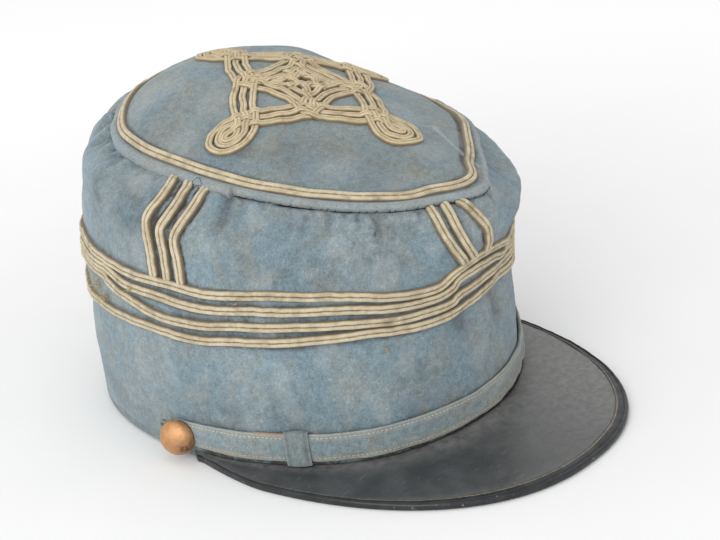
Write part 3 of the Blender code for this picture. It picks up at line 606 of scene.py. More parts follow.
def braid_piece(name, path, normals, finish, closed, form, node):
    """One braid laid along a path, its open ends drawn in."""
    lengths = along_lengths(path)
    near_end = np.minimum(lengths, lengths[-1] - lengths)
    scale = 1.0 if closed else 0.72 + 0.28 * smoothstep(near_end, 0.0, 1.0)
    grid, across = soutache(path, normals, closed, form, scale)
    make_piece(name, [grid], finish, closed, [path], across, nodes=[node])


def stitches(name, starts, ends, normals, radius, arch, finish, sides=6):
    """Short threads joined into one piece: each runs from a start to an end and arches off the cloth."""
    run = ends - starts
    lift = normals[:, None] * (arch * STITCH_FORM.lift)[:, None]
    centre = starts[:, None] + run[:, None] * STITCH_FORM.share[:, None] + lift
    turns = all_round(sides)[:, None]
    ring = unit(np.cross(normals, run))[:, None] * np.cos(turns) + normals[:, None] * np.sin(turns)
    grids = centre[:, :, None] + ring[:, None] * (radius * STITCH_FORM.girth)[:, None, None]
    make_piece(name, grids, finish)


class Nodes:
    """The nodes of a material or a surround, made by short calls. Lengths in patterns are in millimetres."""

    def __init__(self, tree):
        self.tree = tree

    def node(self, kind, inputs, **settings):
        made = self.tree.nodes.new("ShaderNode" + kind)
        for name, value in settings.items():
            setattr(made, name, value)
        for name, value in inputs.items():
            self.put(made.inputs[name], value)
        return made

    def put(self, socket, value):
        if isinstance(value, bpy.types.NodeSocket):
            self.tree.links.new(value, socket)
        elif socket.type == "RGBA":
            socket.default_value = (*value, 1.0)
        else:
            socket.default_value = value

    def coordinates(self, kind):
        return self.node("TexCoord", {}).outputs[kind]

    def split(self, vector):
        return self.node("SeparateXYZ", {0: vector}).outputs

    def math(self, operation, first, second=0.0, clamp=False):
        return self.node("Math", {0: first, 1: second}, operation=operation, use_clamp=clamp).outputs[0]

    def ramp(self, value, low, high, out_low=0.0, out_high=1.0, kind="SMOOTHSTEP"):
        inputs = {"Value": value, "From Min": low, "From Max": high, "To Min": out_low, "To Max": out_high}
        return self.node("MapRange", inputs, interpolation_type=kind).outputs["Result"]

    def scaled(self, vector, amount):
        """A place, or a colour made lighter or darker, times a value."""
        return self.node("VectorMath", {0: vector, "Scale": amount}, operation="SCALE").outputs["Vector"]

    def mix(self, share, first, second):
        return self.node("Mix", {0: share, 6: first, 7: second}, data_type="RGBA").outputs[2]


class Finish(Nodes):
    """The nodes of one material."""

    def __init__(self, name, **shader_values):
        self.material = bpy.data.materials.new(name)
        self.material.use_nodes = True
        super().__init__(self.material.node_tree)
        self.shader = self.tree.nodes["Principled BSDF"]
        for socket, value in shader_values.items():
            self.put(self.shader.inputs[socket.replace("_", " ")], value)
        self.place = self.scaled(self.coordinates("Object"), 1.0 / MM)

    def stretched(self, factors):
        return self.node("VectorMath", {0: self.place, 1: factors}, operation="MULTIPLY").outputs["Vector"]

    def unrolled(self):
        """The two coordinates of the unrolled surface."""
        along, across, _ = self.split(self.node("UVMap", {}, uv_map="UVMap").outputs["UV"])
        return along, across

    def marked(self, name, value, clamp=True):
        """A value times one of the marks that a mesh carries."""
        mark = self.node("Attribute", {}, attribute_name=name).outputs["Fac"]
        return self.math("MULTIPLY", mark, value, clamp)

    def noise(self, size, detail=2.0, roughness=0.5, distortion=0.0, place=None):
        inputs = {"Vector": place or self.place, "Scale": 1.0 / size, "Detail": detail,
                  "Roughness": roughness, "Distortion": distortion}
        return self.node("TexNoise", inputs).outputs["Fac"]

    def cells(self, size):
        return self.node("TexVoronoi", {"Vector": self.place, "Scale": 1.0 / size}).outputs["Distance"]

    def clouded(self, first, second, low, high, *noise):
        """Two colours in patches of noise."""
        return self.mix(self.ramp(self.noise(*noise), low, high), first, second)

    def toned(self, colour, value, low, high, dark, bright):
        return self.scaled(colour, self.ramp(value, low, high, dark, bright))

    def finish(self, colour, roughness, *reliefs):
        """Joins all to the shader. A relief is a height of 0 to 1 and the millimetres it stands for."""
        normal = {}
        for height, distance in reliefs:
            made = self.node("Bump", {"Distance": distance * MM, "Height": height, **normal})
            normal = {"Normal": made.outputs["Normal"]}
        for name, value in {"Base Color": colour, "Roughness": roughness, **normal}.items():
            self.put(self.shader.inputs[name], value)
        return self.material


def felt(name, blue, grey, tan, dirt, pale):
    """Faded felted wool: patches of three shades, mottling, fibres, stains, dirt, painted shade and worn
    places.
    """
    nodes = Finish(name, Sheen_Weight=0.25, Sheen_Roughness=0.55, Sheen_Tint=(0.85, 0.88, 0.9),
                   Specular_IOR_Level=0.25)
    fibres = nodes.noise(0.75, 3.0, 0.7, 1.2)
    nap = nodes.noise(1.0, 2.0, 0.6, 0.4, nodes.stretched((1.6, 1.6, 0.45)))
    blotch = nodes.ramp(nodes.noise(4.5, 4.0, 0.65, 0.8), 0.25, 0.7, 0.35, 1.15)
    colour = nodes.clouded(blue, grey, 0.40, 0.60, 26.0, 4.0, 0.6)
    colour = nodes.mix(nodes.ramp(nodes.noise(13.0, 5.0, 0.65, 0.6), 0.48, 0.70, 0.0, 0.7), colour, tan)
    colour = nodes.toned(colour, nodes.noise(48.0), 0.35, 0.65, 0.93, 1.06)
    colour = nodes.toned(colour, nodes.noise(3.0, 5.0, 0.7), 0.25, 0.75, 0.80, 1.20)
    colour = nodes.toned(colour, fibres, 0.2, 0.8, 0.70, 1.30)
    colour = nodes.toned(colour, nap, 0.25, 0.75, 0.92, 1.08)
    # darkened where the mesh marks dirt and painted shade: shadows in creases, under the rim and strap, and
    # beside braids
    colour = nodes.mix(nodes.marked("dirt", blotch), colour, dirt)
    colour = nodes.mix(nodes.marked("wear", nodes.ramp(fibres, 0.2, 0.7, 0.4, 1.2)), colour, pale)
    lint = nodes.ramp(nodes.noise(1.1, 1.0), 0.74, 0.80, 0.0, 0.55)
    return nodes.finish(nodes.mix(lint, colour, pale), nodes.ramp(fibres, 0.2, 0.8, 0.88, 1.0),
                        (nodes.noise(3.0, 3.0, 0.6), 0.35), (fibres, 0.28),
                        (nodes.noise(0.35, 2.0, 0.6), 0.10))


def braid_finish(name, light, shade, groove, groove_dirt_and_shade):
    """Soutache: yarns laid in a herringbone over two ridges, with dirt and painted shade in the groove and
    painted shade at the edges.
    """
    nodes = Finish(name, Sheen_Weight=0.2, Sheen_Roughness=0.5, Specular_IOR_Level=0.3)
    along, across = nodes.unrolled()
    from_middle = nodes.math("ABSOLUTE", across)
    from_ridge = nodes.math("ABSOLUTE", nodes.math("SUBTRACT", from_middle, 0.5))
    leaned = nodes.math("ADD", along, nodes.math("MULTIPLY", from_ridge, 1.6))
    yarns = nodes.math("SINE", nodes.math("MULTIPLY", leaned, TURN / 0.95))
    yarns = nodes.ramp(yarns, -1.0, 1.0, kind="LINEAR")
    fine = nodes.noise(0.6, 3.0, 0.65)
    colour = nodes.clouded(light, shade, 0.35, 0.7, 5.0, 3.0, 0.6)
    colour = nodes.toned(colour, fine, 0.25, 0.75, 0.86, 1.12)
    colour = nodes.toned(colour, yarns, 0.0, 1.0, 0.88, 1.05)
    patchy_groove_dirt_and_shade = nodes.ramp(nodes.noise(2.5, 3.0), 0.3, 0.6, 0.4 * groove_dirt_and_shade, groove_dirt_and_shade)
    # the groove line is painted shade in the groove, in patches that also stand for dirt
    groove_line = nodes.math("MULTIPLY", nodes.ramp(from_middle, 0.03, 0.22, 1.0, 0.0), patchy_groove_dirt_and_shade)
    # painted shade at the edges, where the braid meets the cloth
    edge = nodes.ramp(from_middle, 0.78, 1.0, 0.0, 0.9)
    colour = nodes.mix(nodes.math("MAXIMUM", groove_line, edge), colour, groove)
    grime = nodes.ramp(nodes.noise(9.0, 4.0, 0.6, 0.5), 0.55, 0.75, 0.0, 0.5)
    return nodes.finish(nodes.mix(grime, colour, groove), nodes.ramp(fine, 0.2, 0.8, 0.78, 0.95),
                        (yarns, 0.14), (fine, 0.10))


def leather_finish():
    """Old black leather: fine grain, dull scuffs, dust and a painted reflection where the mesh marks it,
    scratches, browned where it is rubbed.
    """
    nodes = Finish("peak_leather", Coat_Weight=0.45, Coat_Roughness=0.34, Specular_IOR_Level=0.6)
    large = nodes.noise(22.0, 4.0, 0.6, 0.4)
    colour = nodes.mix(nodes.ramp(large, 0.35, 0.7), (0.026, 0.028, 0.030), (0.056, 0.060, 0.063))
    # the mesh's mark is dust near the crown and the edge, and a painted reflection towards the wearer's left
    # end of the peak
    dust = nodes.marked("dirt", nodes.ramp(nodes.noise(3.0, 4.0, 0.7), 0.3, 0.7, 0.4, 1.1), clamp=False)
    colour = nodes.mix(nodes.math("MULTIPLY", dust, 0.6, clamp=True), colour, (0.285, 0.28, 0.268))
    scratch_noise = nodes.noise(1.0, 2.0, 0.5, 0.3, nodes.stretched((0.10, 1.1, 1.0)))
    scratches = nodes.ramp(scratch_noise, 0.65, 0.71, 0.0, 0.5)
    colour = nodes.mix(scratches, colour, (0.15, 0.14, 0.13))
    specks = nodes.ramp(nodes.noise(1.3), 0.72, 0.78, 0.0, 0.5)
    colour = nodes.mix(specks, colour, (0.20, 0.17, 0.13))
    roughness = nodes.math("ADD", nodes.ramp(large, 0.3, 0.7, 0.34, 0.5), nodes.math("MULTIPLY", dust, 0.3))
    return nodes.finish(colour, roughness, (nodes.noise(7.0, 3.0, 0.6), 0.25), (nodes.cells(0.75), 0.06),
                        (scratches, -0.05))


def binding_finish():
    """Thin leather folded over the edge of the peak: tan in its stitched groove, rubbed on its roll."""
    nodes = Finish("binding_leather", Coat_Weight=0.5, Coat_Roughness=0.16, Specular_IOR_Level=0.2)
    colour = nodes.clouded((0.010, 0.012, 0.015), (0.024, 0.027, 0.030), 0.35, 0.7, 6.0, 4.0, 0.6)
    rubbed = nodes.marked("wear", nodes.ramp(nodes.noise(2.2), 0.68, 0.76, 0.0, 0.9))
    colour = nodes.mix(rubbed, colour, (0.33, 0.27, 0.19))
    dust = nodes.marked("dirt", nodes.ramp(nodes.noise(1.5, 3.0), 0.3, 0.6, 0.4, 1.0))
    return nodes.finish(nodes.mix(dust, colour, (0.30, 0.25, 0.17)),
                        nodes.ramp(nodes.noise(3.0, 3.0), 0.3, 0.7, 0.35, 0.6),
                        (nodes.cells(0.8), 0.05), (nodes.noise(1.8, 3.0), 0.12))


def brass_finish():
    """Copper-coloured brass, dulled by handling and browned in patches; the mesh's mark also paints shade on
    the lower side of the dome.
    """
    nodes = Finish("button_brass", Metallic=0.75)
    colour = nodes.clouded((0.60, 0.33, 0.155), (0.48, 0.255, 0.12), 0.35, 0.68, 4.0, 4.0, 0.6, 0.5)
    dirt = nodes.marked("dirt", nodes.ramp(nodes.noise(1.6, 3.0), 0.3, 0.65, 0.4, 1.1))
    return nodes.finish(nodes.mix(dirt, colour, (0.07, 0.045, 0.03)),
                        nodes.ramp(nodes.noise(1.4, 4.0, 0.65), 0.3, 0.7, 0.42, 0.60),
                        (nodes.noise(2.0, 4.0, 0.6), 0.03))


def thread_finish(name, colour, dark):
    nodes = Finish(name)
    twist = nodes.noise(0.5)
    return nodes.finish(nodes.mix(nodes.ramp(twist, 0.3, 0.7), colour, dark),
                        nodes.ramp(twist, 0.3, 0.7, 0.7, 0.9), (twist, 0.1))


def crown_marks(angle, level, creased, point):
    """Dirt, wear and painted shade of the side cloth: painted shade in creases, under the rolled rim and
    under the strap over the peak, painted shade with some dirt beside the braids, painted shadow beside the
    upright strips, a darker bottom edge, and stains.
    """
    degrees = np.degrees(angle)
    height = height_of(level)
    ragged = np.clip(0.6 + 0.45 * waves(point, 8.0, 34), 0.15, 1.0)
    over_peak = window(degrees, 184.0, 188.0, 352.0, 356.0)
    # painted shade in creases, a painted shadow line under the rolled rim, and a painted shadow under the
    # strap over the peak; the bottom edge is darker all round, and the lower band has patches of grime
    dirt = [0.55 * creased, 0.8 * ragged * smoothstep(height, 111.8, 114.0),
            (0.45 + 0.75 * over_peak) * fade(height, 4.6, 6.6),
            0.30 * fade(height, 14.0, 30.0) * smoothstep(waves(point, 30.0, 31), -0.4, 0.9)]
    for row in range(BRAID_ROWS):
        distance = np.abs(height - height_of(row_level(row, angle[0])))
        # painted shade, with some dirt, in a band beside each row of braid
        dirt.append(0.8 * fade(distance, 2.0, 4.2))
    for strip in STRIPS:
        middle = np.interp(level, strip.levels[::-1], strip.angles[::-1])
        distance = np.abs(wrap_degrees(degrees - middle)) * MM_PER_DEGREE
        # painted shadow: a near-black line beside each upright strip
        dirt.append(1.5 * fade(distance, 2.5, 3.4) * smoothstep(level, 3.0, 3.1))
    blur = 0.5 * waves(point, 9.0, 33)
    for stain in STAINS:
        across = wrap_degrees(degrees - stain.angle) * MM_PER_DEGREE
        spot = gauss(np.hypot(across, height - height_of(stain.level)) / stain.size)
        spot = spot * (1.0 + blur * (stain.size > BLURRED_STAIN))
        dirt.append(stain.strength * np.clip(spot, 0.0, 1.0))
    return {"dirt": np.maximum.reduce(dirt), "wear": 0.25 * smoothstep(waves(point, 24.0, 32), 0.5, 1.4)}


def shell_piece(name, angles, levels, inner_count, finish, hem, node):
    """A closed wall of cloth: the outer face in full detail, and a plainer inner face."""
    angles = np.broadcast_to(angles, levels.shape)
    point = smooth_point(angles, levels)
    relief, creased = cloth_relief(angles, levels, point)
    outer = point + smooth_normal(angles, levels) * relief[..., None]
    marks = crown_marks(angles, levels, creased, point)
    shares = np.linspace(1.0, 0.0, inner_count)[:, None]
    inner_levels = levels[0] * (1 - shares) + levels[-1] * shares
    normal = smooth_normal(angles[0], inner_levels)
    upright = smoothstep(inner_levels, 0.0, 0.3)[..., None]
    normal = unit(normal * FLAT * (1 - upright) + normal * (upright + 1e-3))
    inner = crown(angles[0], inner_levels) - normal * CLOTH
    rows = [outer, inner]
    if hem:
        outer[-1] -= 0.15 * normal[0]
        turns = np.radians([35, 70, 110, 145])[:, None, None]
        edge = 0.5 * (outer[-1] + inner[0]) + 0.5 * (outer[-1] - inner[0]) * np.cos(turns)
        edge[..., 2] = outer[-1][..., 2] - 0.75 * np.sin(turns[..., 0])
        inner[0][..., 2] = outer[-1][..., 2]
        rows.insert(1, edge)
    grid = np.concatenate(rows)
    unseen = np.full((len(grid) - len(outer), grid.shape[1]), 0.3)
    marks = {"dirt": np.concatenate([marks["dirt"], unseen]),
             "wear": np.concatenate([marks["wear"], 0 * unseen])}
    make_piece(name, [grid], finish, closed=True, marks=marks, nodes=[node])


def side_cloths(finish):
    """The band of cloth below the braids, and the puffed cloth above, up into the seam."""
    angles = all_round(520)
    shares = np.linspace(0.0, 1.0, 84)[:, None]
    levels = row_level(2, angles) * (1 - shares) + 0.055 * shares
    shell_piece("band_cloth", angles, levels, 14, finish, True, "lower_band")
    angles = all_round(680)
    shares = np.linspace(0.0, 1.0, 96)[:, None] ** 0.9
    levels = (SEAM - 0.002) * (1 - shares) + (row_level(2, angles) - 0.01) * shares
    shell_piece("side_cloth", angles, levels, 16, finish, False, "upper_side")


def rim_point(angle, share):
    """Rolled rim: share 0 at the seam under it, 1 at the edge of the top."""
    seam, edge = ring_point(SEAM_RING, angle), ring_point(EDGE_RING, angle)
    degrees = np.degrees(angle) % 360.0
    lap = window(degrees, 132.0, 150.0, LAP_ANGLE, LAP_ANGLE + 0.9)
    seam = seam + lap[..., None] * (np.array([0.0, 0.0, -1.7]) + 0.5 * unit(seam - edge))
    step = 1e-3
    tangent = ring_point(EDGE_RING, angle + step) - ring_point(EDGE_RING, angle - step)
    out = unit(np.cross(tangent, edge - seam))
    base = seam + (edge - seam) * np.asarray(share)[..., None]
    puckers = np.cos(TURN * degrees * 1.45 / STITCH_STEP + 2.0 * waves(base, 25.0, 41))
    bulge = 1.75 + 0.35 * waves(base, 14.0, 42) + 0.35 * lap - 0.16 * puckers * (1.0 - share)
    return base + out * (bulge * np.sin(math.pi * share) ** 0.75)[..., None]


def distance_to(places, plans):
    """Distance in plan from each place to the nearest strand of the knot."""
    line = np.concatenate(plans)
    tree = kdtree.KDTree(len(line))
    for i, (x, y) in enumerate(line):
        tree.insert((x, y, 0.0), i)
    tree.balance()
    return np.array([tree.find((x, y, 0.0))[2] for x, y in places])


def top_marks(angles, shares, dome, plans):
    """Dirt, wear and painted shade of the domed top: painted shade beside its braids and under the strands of
    the knot, stains, and wear along a worn crease.
    """
    inside = (edge_share(angles) - shares) * 85.0
    open_part = window(np.degrees(angles), 276.0, 284.0, 326.0, 340.0)
    strands = distance_to(dome[..., :2].reshape(-1, 2), plans).reshape(inside.shape)
    # painted shade: a band beside the edge braid, a darker line just inside it at the front, and contact
    # shadow under the knot's strands
    dirt = [0.75 * fade(np.abs(inside), 2.2, 4.0), 1.2 * fade(np.abs(inside - 3.0), 0.7, 1.4) * open_part,
            0.8 * fade(strands, 1.3, 2.5)]
    blur = 1.0 + 0.5 * waves(dome, 8.0, 45)
    for stain in TOP_STAINS:
        spot = gauss(np.hypot(dome[..., 0] - stain.x, dome[..., 1] - stain.y) / stain.size)
        dirt.append(stain.strength * np.clip(spot * blur, 0.0, 1.0))
    run = TOP_FOLD[1] - TOP_FOLD[0]
    away = dome[..., :2] - TOP_FOLD[0]
    off = away - np.clip(away @ run / (run @ run), 0.0, 1.0)[..., None] * run
    wear = np.maximum(0.25 * smoothstep(waves(dome, 30.0, 43), -0.2, 1.2),
                      0.7 * gauss(np.linalg.norm(off, axis=-1) / 0.9))
    return np.maximum.reduce(dirt), wear


def top_cloth(plans, finish):
    """The domed top with its rolled rim: a closed shell with a small cap in the middle of each face."""
    angles = all_round(600)
    inner_shares = np.array([0.012, 0.12, 0.3, 0.5, 0.7, 0.85, 0.95])[:, None]
    inner = dome_point(angles, inner_shares) - np.array([0, 0, CLOTH])
    tuck = rim_point(angles, 0.0)
    inwards = unit((np.array([DOME.x, DOME.y, 0.0]) - tuck) * FLAT)
    hem = np.stack([tuck + inwards * 2.4 + np.array([0.0, 0.0, 0.6]),
                    tuck + inwards * 0.9 + np.array([0.0, 0.0, -0.3])])
    roll_shares = np.linspace(0.0, 1.0, RIM_ROWS)[:, None]
    shares = np.concatenate([np.linspace(0.994, 0.9, 22), np.linspace(0.89, 0.01, 84)])[:, None]
    dome = dome_point(angles, shares)
    grid = np.concatenate([inner, hem, rim_point(angles, roll_shares), dome])
    dirt, wear = np.zeros((2, *grid.shape[:2]))
    at_lap = gauss((np.degrees(angles) - LAP_ANGLE - 0.6) / 0.7)
    roll = slice(len(inner) + len(hem), -len(dome))
    # painted shade on the rolled rim: at its foot where it tucks under, at its top beside the edge braid, and
    # in the step where the lap ends
    dirt[roll] = np.maximum(0.85 * fade(roll_shares, 0.02, 0.3) + 0.6 * smoothstep(roll_shares, 0.85, 1.0),
                            0.8 * at_lap)
    wear[roll] = 0.35
    dirt[-len(dome):], wear[-len(dome):] = top_marks(angles, shares, dome, plans)
    make_piece("top_cloth", [grid], finish, marks={"dirt": dirt, "wear": wear}, nodes=["top"])


def crown_braid(name, angles, levels, step, finish, closed, form, node):
    """A braid on the side cloth along a chart of angles and levels."""
    chart = resample(np.stack([angles, levels], axis=-1), crown(angles, levels), step)
    angles, levels = chart.T
    braid_piece(name, crown(angles, levels), crown_normal(angles, levels), finish, closed, form, node)


def crown_braids(finish):
    """Four braids round the crown, and upright ones in threes from the seam to the highest row."""
    angles = all_round(900)
    for row in range(BRAID_ROWS):
        crown_braid(f"braid_row_{row + 1}", angles, row_level(row, angles), 0.85, finish, True, ROW_BRAID,
                    f"braid_ring_{row + 1}")
    for strip in STRIPS:
        angles, levels = smooth_curve(list(zip(np.radians(strip.angles), strip.levels)), 20).T
        levels = np.maximum(levels, row_level(3, angles) + 0.07)
        crown_braid(f"braid_{strip.name}_strip", angles, levels, 0.8, finish, False, EDGE_BRAID,
                    f"braid_{strip.name}")


def edge_braid(finish):
    """The braid just inside the rolled rim."""
    dense = np.linspace(0.0, TURN, 1000)
    angles = resample(dense[:, None], dome_point(dense, edge_share(dense)), 0.8)[:-1, 0]
    path = dome_point(angles, edge_share(angles) + 0.0035 * waves(circle(angles, 80.0), 26.0, 44))
    outwards = unit(ring_point(EDGE_RING, angles) - np.array([DOME.x, DOME.y, 110.0]))
    normals = unit(dome_normal(path[:, 0], path[:, 1]) + 0.25 * outwards)
    braid_piece("edge_braid", path, normals, finish, True, EDGE_BRAID, "braid_top_edge")


def knot_figure():
    """One closed middle line of the knot: out and back through both of its end loops."""
    loop_length, loop_width = KNOT_LOOP
    neck = KNOT_LOOP_AT - KNOT_NECK
    quarter = []
    for turn in np.radians((0, 35, 70, 105, 138)):
        quarter.append((KNOT_LOOP_AT + loop_length * math.cos(turn), -loop_width * math.sin(turn)))
    quarter.append((neck, 0.0))
    for share, out in ((0.25, 1.0), (0.5, 1.2), (0.75, 1.0)):
        quarter.append((neck + (KNOT_DIAGONAL - neck) * share + out, KNOT_DIAGONAL * share + out))
    quarter += [(KNOT_DIAGONAL, KNOT_DIAGONAL),
                (0.68 * KNOT_DIAGONAL, 0.5 * (KNOT_DIAGONAL + KNOT_PASS) - 0.3),
                (0.33 * KNOT_DIAGONAL, KNOT_PASS + 0.3), (0.0, KNOT_PASS)]
    half = quarter + [(-x, y) for x, y in reversed(quarter[:-1])]
    line = smooth_curve(half + [(x, -y) for x, y in reversed(half[1:-1])], 24, closed=True)
    return resample(line, line, 0.5, True)


def knot_strand_plans():
    """Plans of the closed strands: three side by side in each of two figures, and the woven middle."""
    plans = []
    centre = knot_figure()
    tangents = unit(np.roll(centre, -1, axis=0) - np.roll(centre, 1, axis=0))
    side = np.stack([-tangents[:, 1], tangents[:, 0]], axis=-1)
    reach = np.hypot(*centre.T)
    pitch = STRAND_PITCH + 0.4 * fade(reach, 34.0, 44.0) + 0.25 * gauss((reach - 30.0) / 4.0)
    for quarter in (0.0, 90.0):
        for place in (-1, 0, 1):
            plans.append((centre + side * (place * pitch)[:, None], quarter))
    turn = all_round(260)
    for large, small, quarter in ROSETTES:
        rosette = (circle(turn, large) + circle(-3.0 * turn, small))[:, :2]
        plans.append((resample(rosette, rosette, 0.5, True), quarter))
    made = []
    for number, (plan, quarter) in enumerate(plans):
        spots = np.concatenate([plan, np.full((len(plan), 1), 40.0 * number)], axis=1)
        plan = plan + 0.36 * np.stack([waves(spots, 10.0, 51), waves(spots, 10.0, 52)], axis=-1)
        turn = math.radians(KNOT_TURN + quarter)
        rotate = np.array([[math.cos(turn), math.sin(turn)], [-math.sin(turn), math.cos(turn)]])
        plan = plan @ rotate + np.array(KNOT_CENTRE)
        beyond = plan[:, 0] - FAR_SIDE
        plan[:, 0] -= 0.5 * FAR_SHRINK * (beyond + np.hypot(beyond, 4.0))
        made.append(plan)
    return made


def find_crossings(plans):
    """Every crossing of the closed plans, as (plan, place along it, other plan, place along that)."""
    starts = np.concatenate(plans)
    run = np.concatenate([np.roll(plan, -1, axis=0) - plan for plan in plans])
    owner = np.concatenate([np.full(len(plan), i) for i, plan in enumerate(plans)])
    index = np.concatenate([np.arange(len(plan)) for plan in plans])
    found = []
    for i in range(len(starts)):
        near = np.flatnonzero(np.abs(starts[i + 1:] - starts[i]).max(axis=1) < 1.2) + i + 1
        size = len(plans[owner[i]])
        neighbour = np.abs((index[near] - index[i] + size // 2) % size - size // 2) <= 4
        near = near[(owner[near] != owner[i]) | ~neighbour]
        cross = run[i, 0] * run[near, 1] - run[i, 1] * run[near, 0]
        cross = np.where(np.abs(cross) < 1e-9, 1e-9, cross)
        gap = starts[near] - starts[i]
        first = (gap[:, 0] * run[near, 1] - gap[:, 1] * run[near, 0]) / cross
        second = (gap[:, 0] * run[i, 1] - gap[:, 1] * run[i, 0]) / cross
        hit = (first >= 0) & (first < 1) & (second >= 0) & (second < 1)
        for j, s, u in zip(near[hit], first[hit], second[hit]):
            found.append((owner[i], index[i] + s, owner[j], index[j] + u))
    return found


def choose_over(passes, count):
    """Which of the two passes at each crossing lies over, so that overs and unders take turns."""
    where = {}
    for plan, line in enumerate(passes):
        for place, (_, number, end) in enumerate(line):
            where[(number, end)] = (line, place)
    over = {}
    for number in range(count):
        queue = [] if number in over else [number]
        over.setdefault(number, 0)
        while queue:
            current = queue.pop()
            for end in (0, 1):
                line, place = where[(current, end)]
                for way in (-1, 1):
                    _, other, other_end = line[(place + way) % len(line)]
                    if other not in over:
                        over[other] = 1 - other_end if over[current] == end else other_end
                        queue.append(other)
    return over


def weave(plans, slack=14, rest=6, low=0.06):
    """Heights along each plan, 0 to 1, so that it goes over and under the others by turns."""
    crossings = find_crossings(plans)
    passes = [[] for _ in plans]
    for number, (a, s, b, u) in enumerate(crossings):
        passes[a].append((s, number, 0))
        passes[b].append((u, number, 1))
    for line in passes:
        line.sort()
    over = choose_over(passes, len(crossings))
    heights = []
    for plan, line in zip(plans, passes):
        count = len(plan)
        keys = []
        for k, (s, number, end) in enumerate(line):
            keys.append((s, 1.0 if over[number] == end else 0.0))
            following = line[(k + 1) % len(line)][0] + (count if k + 1 == len(line) else 0)
            if following - s > slack:
                keys += [(s + rest, low), (following - rest, low)]
        places, values = np.array(sorted(keys)).T
        places = np.concatenate([places - count, places, places + count])
        values = np.tile(values, 3)
        at = np.arange(count)
        k = np.clip(np.searchsorted(places, at, side="right") - 1, 0, len(places) - 2)
        share = smoothstep((at - places[k]) / np.maximum(places[k + 1] - places[k], 1e-6), 0.0, 1.0)
        heights.append(values[k] * (1 - share) + values[k + 1] * share)
    return heights


def top_knot(plans, finish):
    """The interlaced ornament: closed strands of soutache woven over and under each other."""
    grids, paths = [], []
    for plan, height in zip(plans, weave(plans)):
        x, y = plan.T
        paths.append(np.stack([x, y, dome_height(x, y) + KNOT_LIFT * height], axis=-1))
        grid, across = soutache(paths[-1], dome_normal(x, y), True, STRAND)
        grids.append(grid)
    make_piece("knot_braid", grids, finish, True, paths, across, nodes=["top_knot"])


def peak_point(angle, share, inset):
    """Plan and top height of the peak: share 0 at the crown, 1 at the outline less the inset."""
    start = (smooth_point(angle, 0.12) + smooth_normal(angle, 0.12) * (GAP + 0.25))[..., :2]
    x, y = power_oval(angle, PEAK_OVAL)
    outwards = np.stack([PEAK_HALF_WIDTH * x, PEAK_CENTRE_Y + PEAK_REACH * y], axis=-1) - start
    reach = np.linalg.norm(outwards, axis=-1)
    inwards = np.minimum(np.degrees(angle) - PEAK_START, PEAK_STOP - np.degrees(angle))
    taper = np.sin(0.5 * math.pi * np.clip(inwards / PEAK_TAPER_LENGTH, 0.0, 1.0))
    kept = np.maximum(reach * taper, PEAK_END_WIDTH)
    narrow = np.clip((kept - 2.7) / (BINDING_LIP - BINDING_ROLL), 0.0, 1.0)
    inset = np.minimum(inset, BINDING_ROLL) + np.maximum(inset - BINDING_ROLL, 0.0) * narrow
    plan = start + outwards * (share * (kept - inset) / reach)[..., None]
    height = PEAK_TOP_INSIDE + (PEAK_TOP_OUTSIDE - PEAK_TOP_INSIDE) * share ** 1.2
    return np.concatenate([plan, np.broadcast_to(height, plan.shape[:-1])[..., None]], axis=-1)


def peak_piece(finish):
    """The leather of the peak, with its slightly uneven worn face."""
    angles = np.radians(np.linspace(PEAK_START, PEAK_STOP, 340))
    shares = np.linspace(0.0, 1.0, 46)
    top = peak_point(angles, shares[:, None], LEATHER_INSET)
    top[..., 2] += (0.16 * waves(top, 34.0, 61) + 0.07 * waves(top, 11.0, 62)) * (1 - shares[:, None] ** 4)
    under = top[::-5].copy()
    under[..., 2] = np.maximum(under[..., 2] - PEAK_THICK, 0.25)
    grid = np.concatenate([top, under]).transpose(1, 0, 2)
    dirt = np.zeros(grid.shape[:2])
    # painted reflection: the leather is made lighter towards the wearer's left end, where it mirrors the
    # bright surround; the rest of the mark is dust beside the crown and the edge
    faded = smoothstep(np.degrees(angles), 246.0, 312.0)[:, None]
    beside = np.maximum(0.75 * fade(shares, 0.02, 0.35), 0.35 * smoothstep(shares, 0.80, 0.93))
    dirt[:, :len(shares)] = np.maximum(beside, faded)
    make_piece("peak_leather", [grid], finish, marks={"dirt": dirt}, nodes=["peak"])


def binding_piece(finish):
    """The folded binding: a flat lip with a sewn groove, and a roll round the edge."""
    lip, top = BINDING_LIP, PEAK_TOP_OUTSIDE
    section = [(lip + 0.1, top - 0.1), (lip, top + 0.38), (lip - 0.3, top + 0.52), (lip - 0.6, top + 0.46),
               (lip - 0.85, top + 0.26), (lip - 1.1, top + 0.44), (lip - 1.5, top + 0.52), (4.0, top + 0.5),
               (3.2, top + 0.44), (2.75, top + 0.36), (2.45, top + 0.08), (2.2, top - 0.08),
               (2.0, top + 0.10)]
    for turn in np.radians(range(125, -115, -16)):
        section.append((1.05 * (1.0 - math.cos(turn)), max(1.55 + 1.38 * math.sin(turn), 0.12)))
    section += [(2.4, 0.3), (2.7, top - 0.3), (lip - 0.4, top - 0.2)]
    insets, heights = np.array(section).T
    angles = np.radians(np.linspace(PEAK_START, PEAK_STOP, 620))
    grid = peak_point(angles, 1.0, insets[:, None]).transpose(1, 0, 2)
    lift = 0.10 * waves(grid, 16.0, 63) + 0.05 * waves(grid, 5.0, 64)
    grid[..., 2] = np.maximum(heights + lift * (heights > 1.0), 0.1)
    marks = {"dirt": gauss((insets - lip + 0.85) / 0.2) * (heights > 1.5),
             "wear": 0.8 * (insets < 1.6) * (heights > 1.0)}
    make_piece("peak_edge_binding", [grid], finish, marks=marks, nodes=["peak_binding"])


def flat_normal(angle, level):
    return unit(smooth_normal(angle, level) * FLAT)


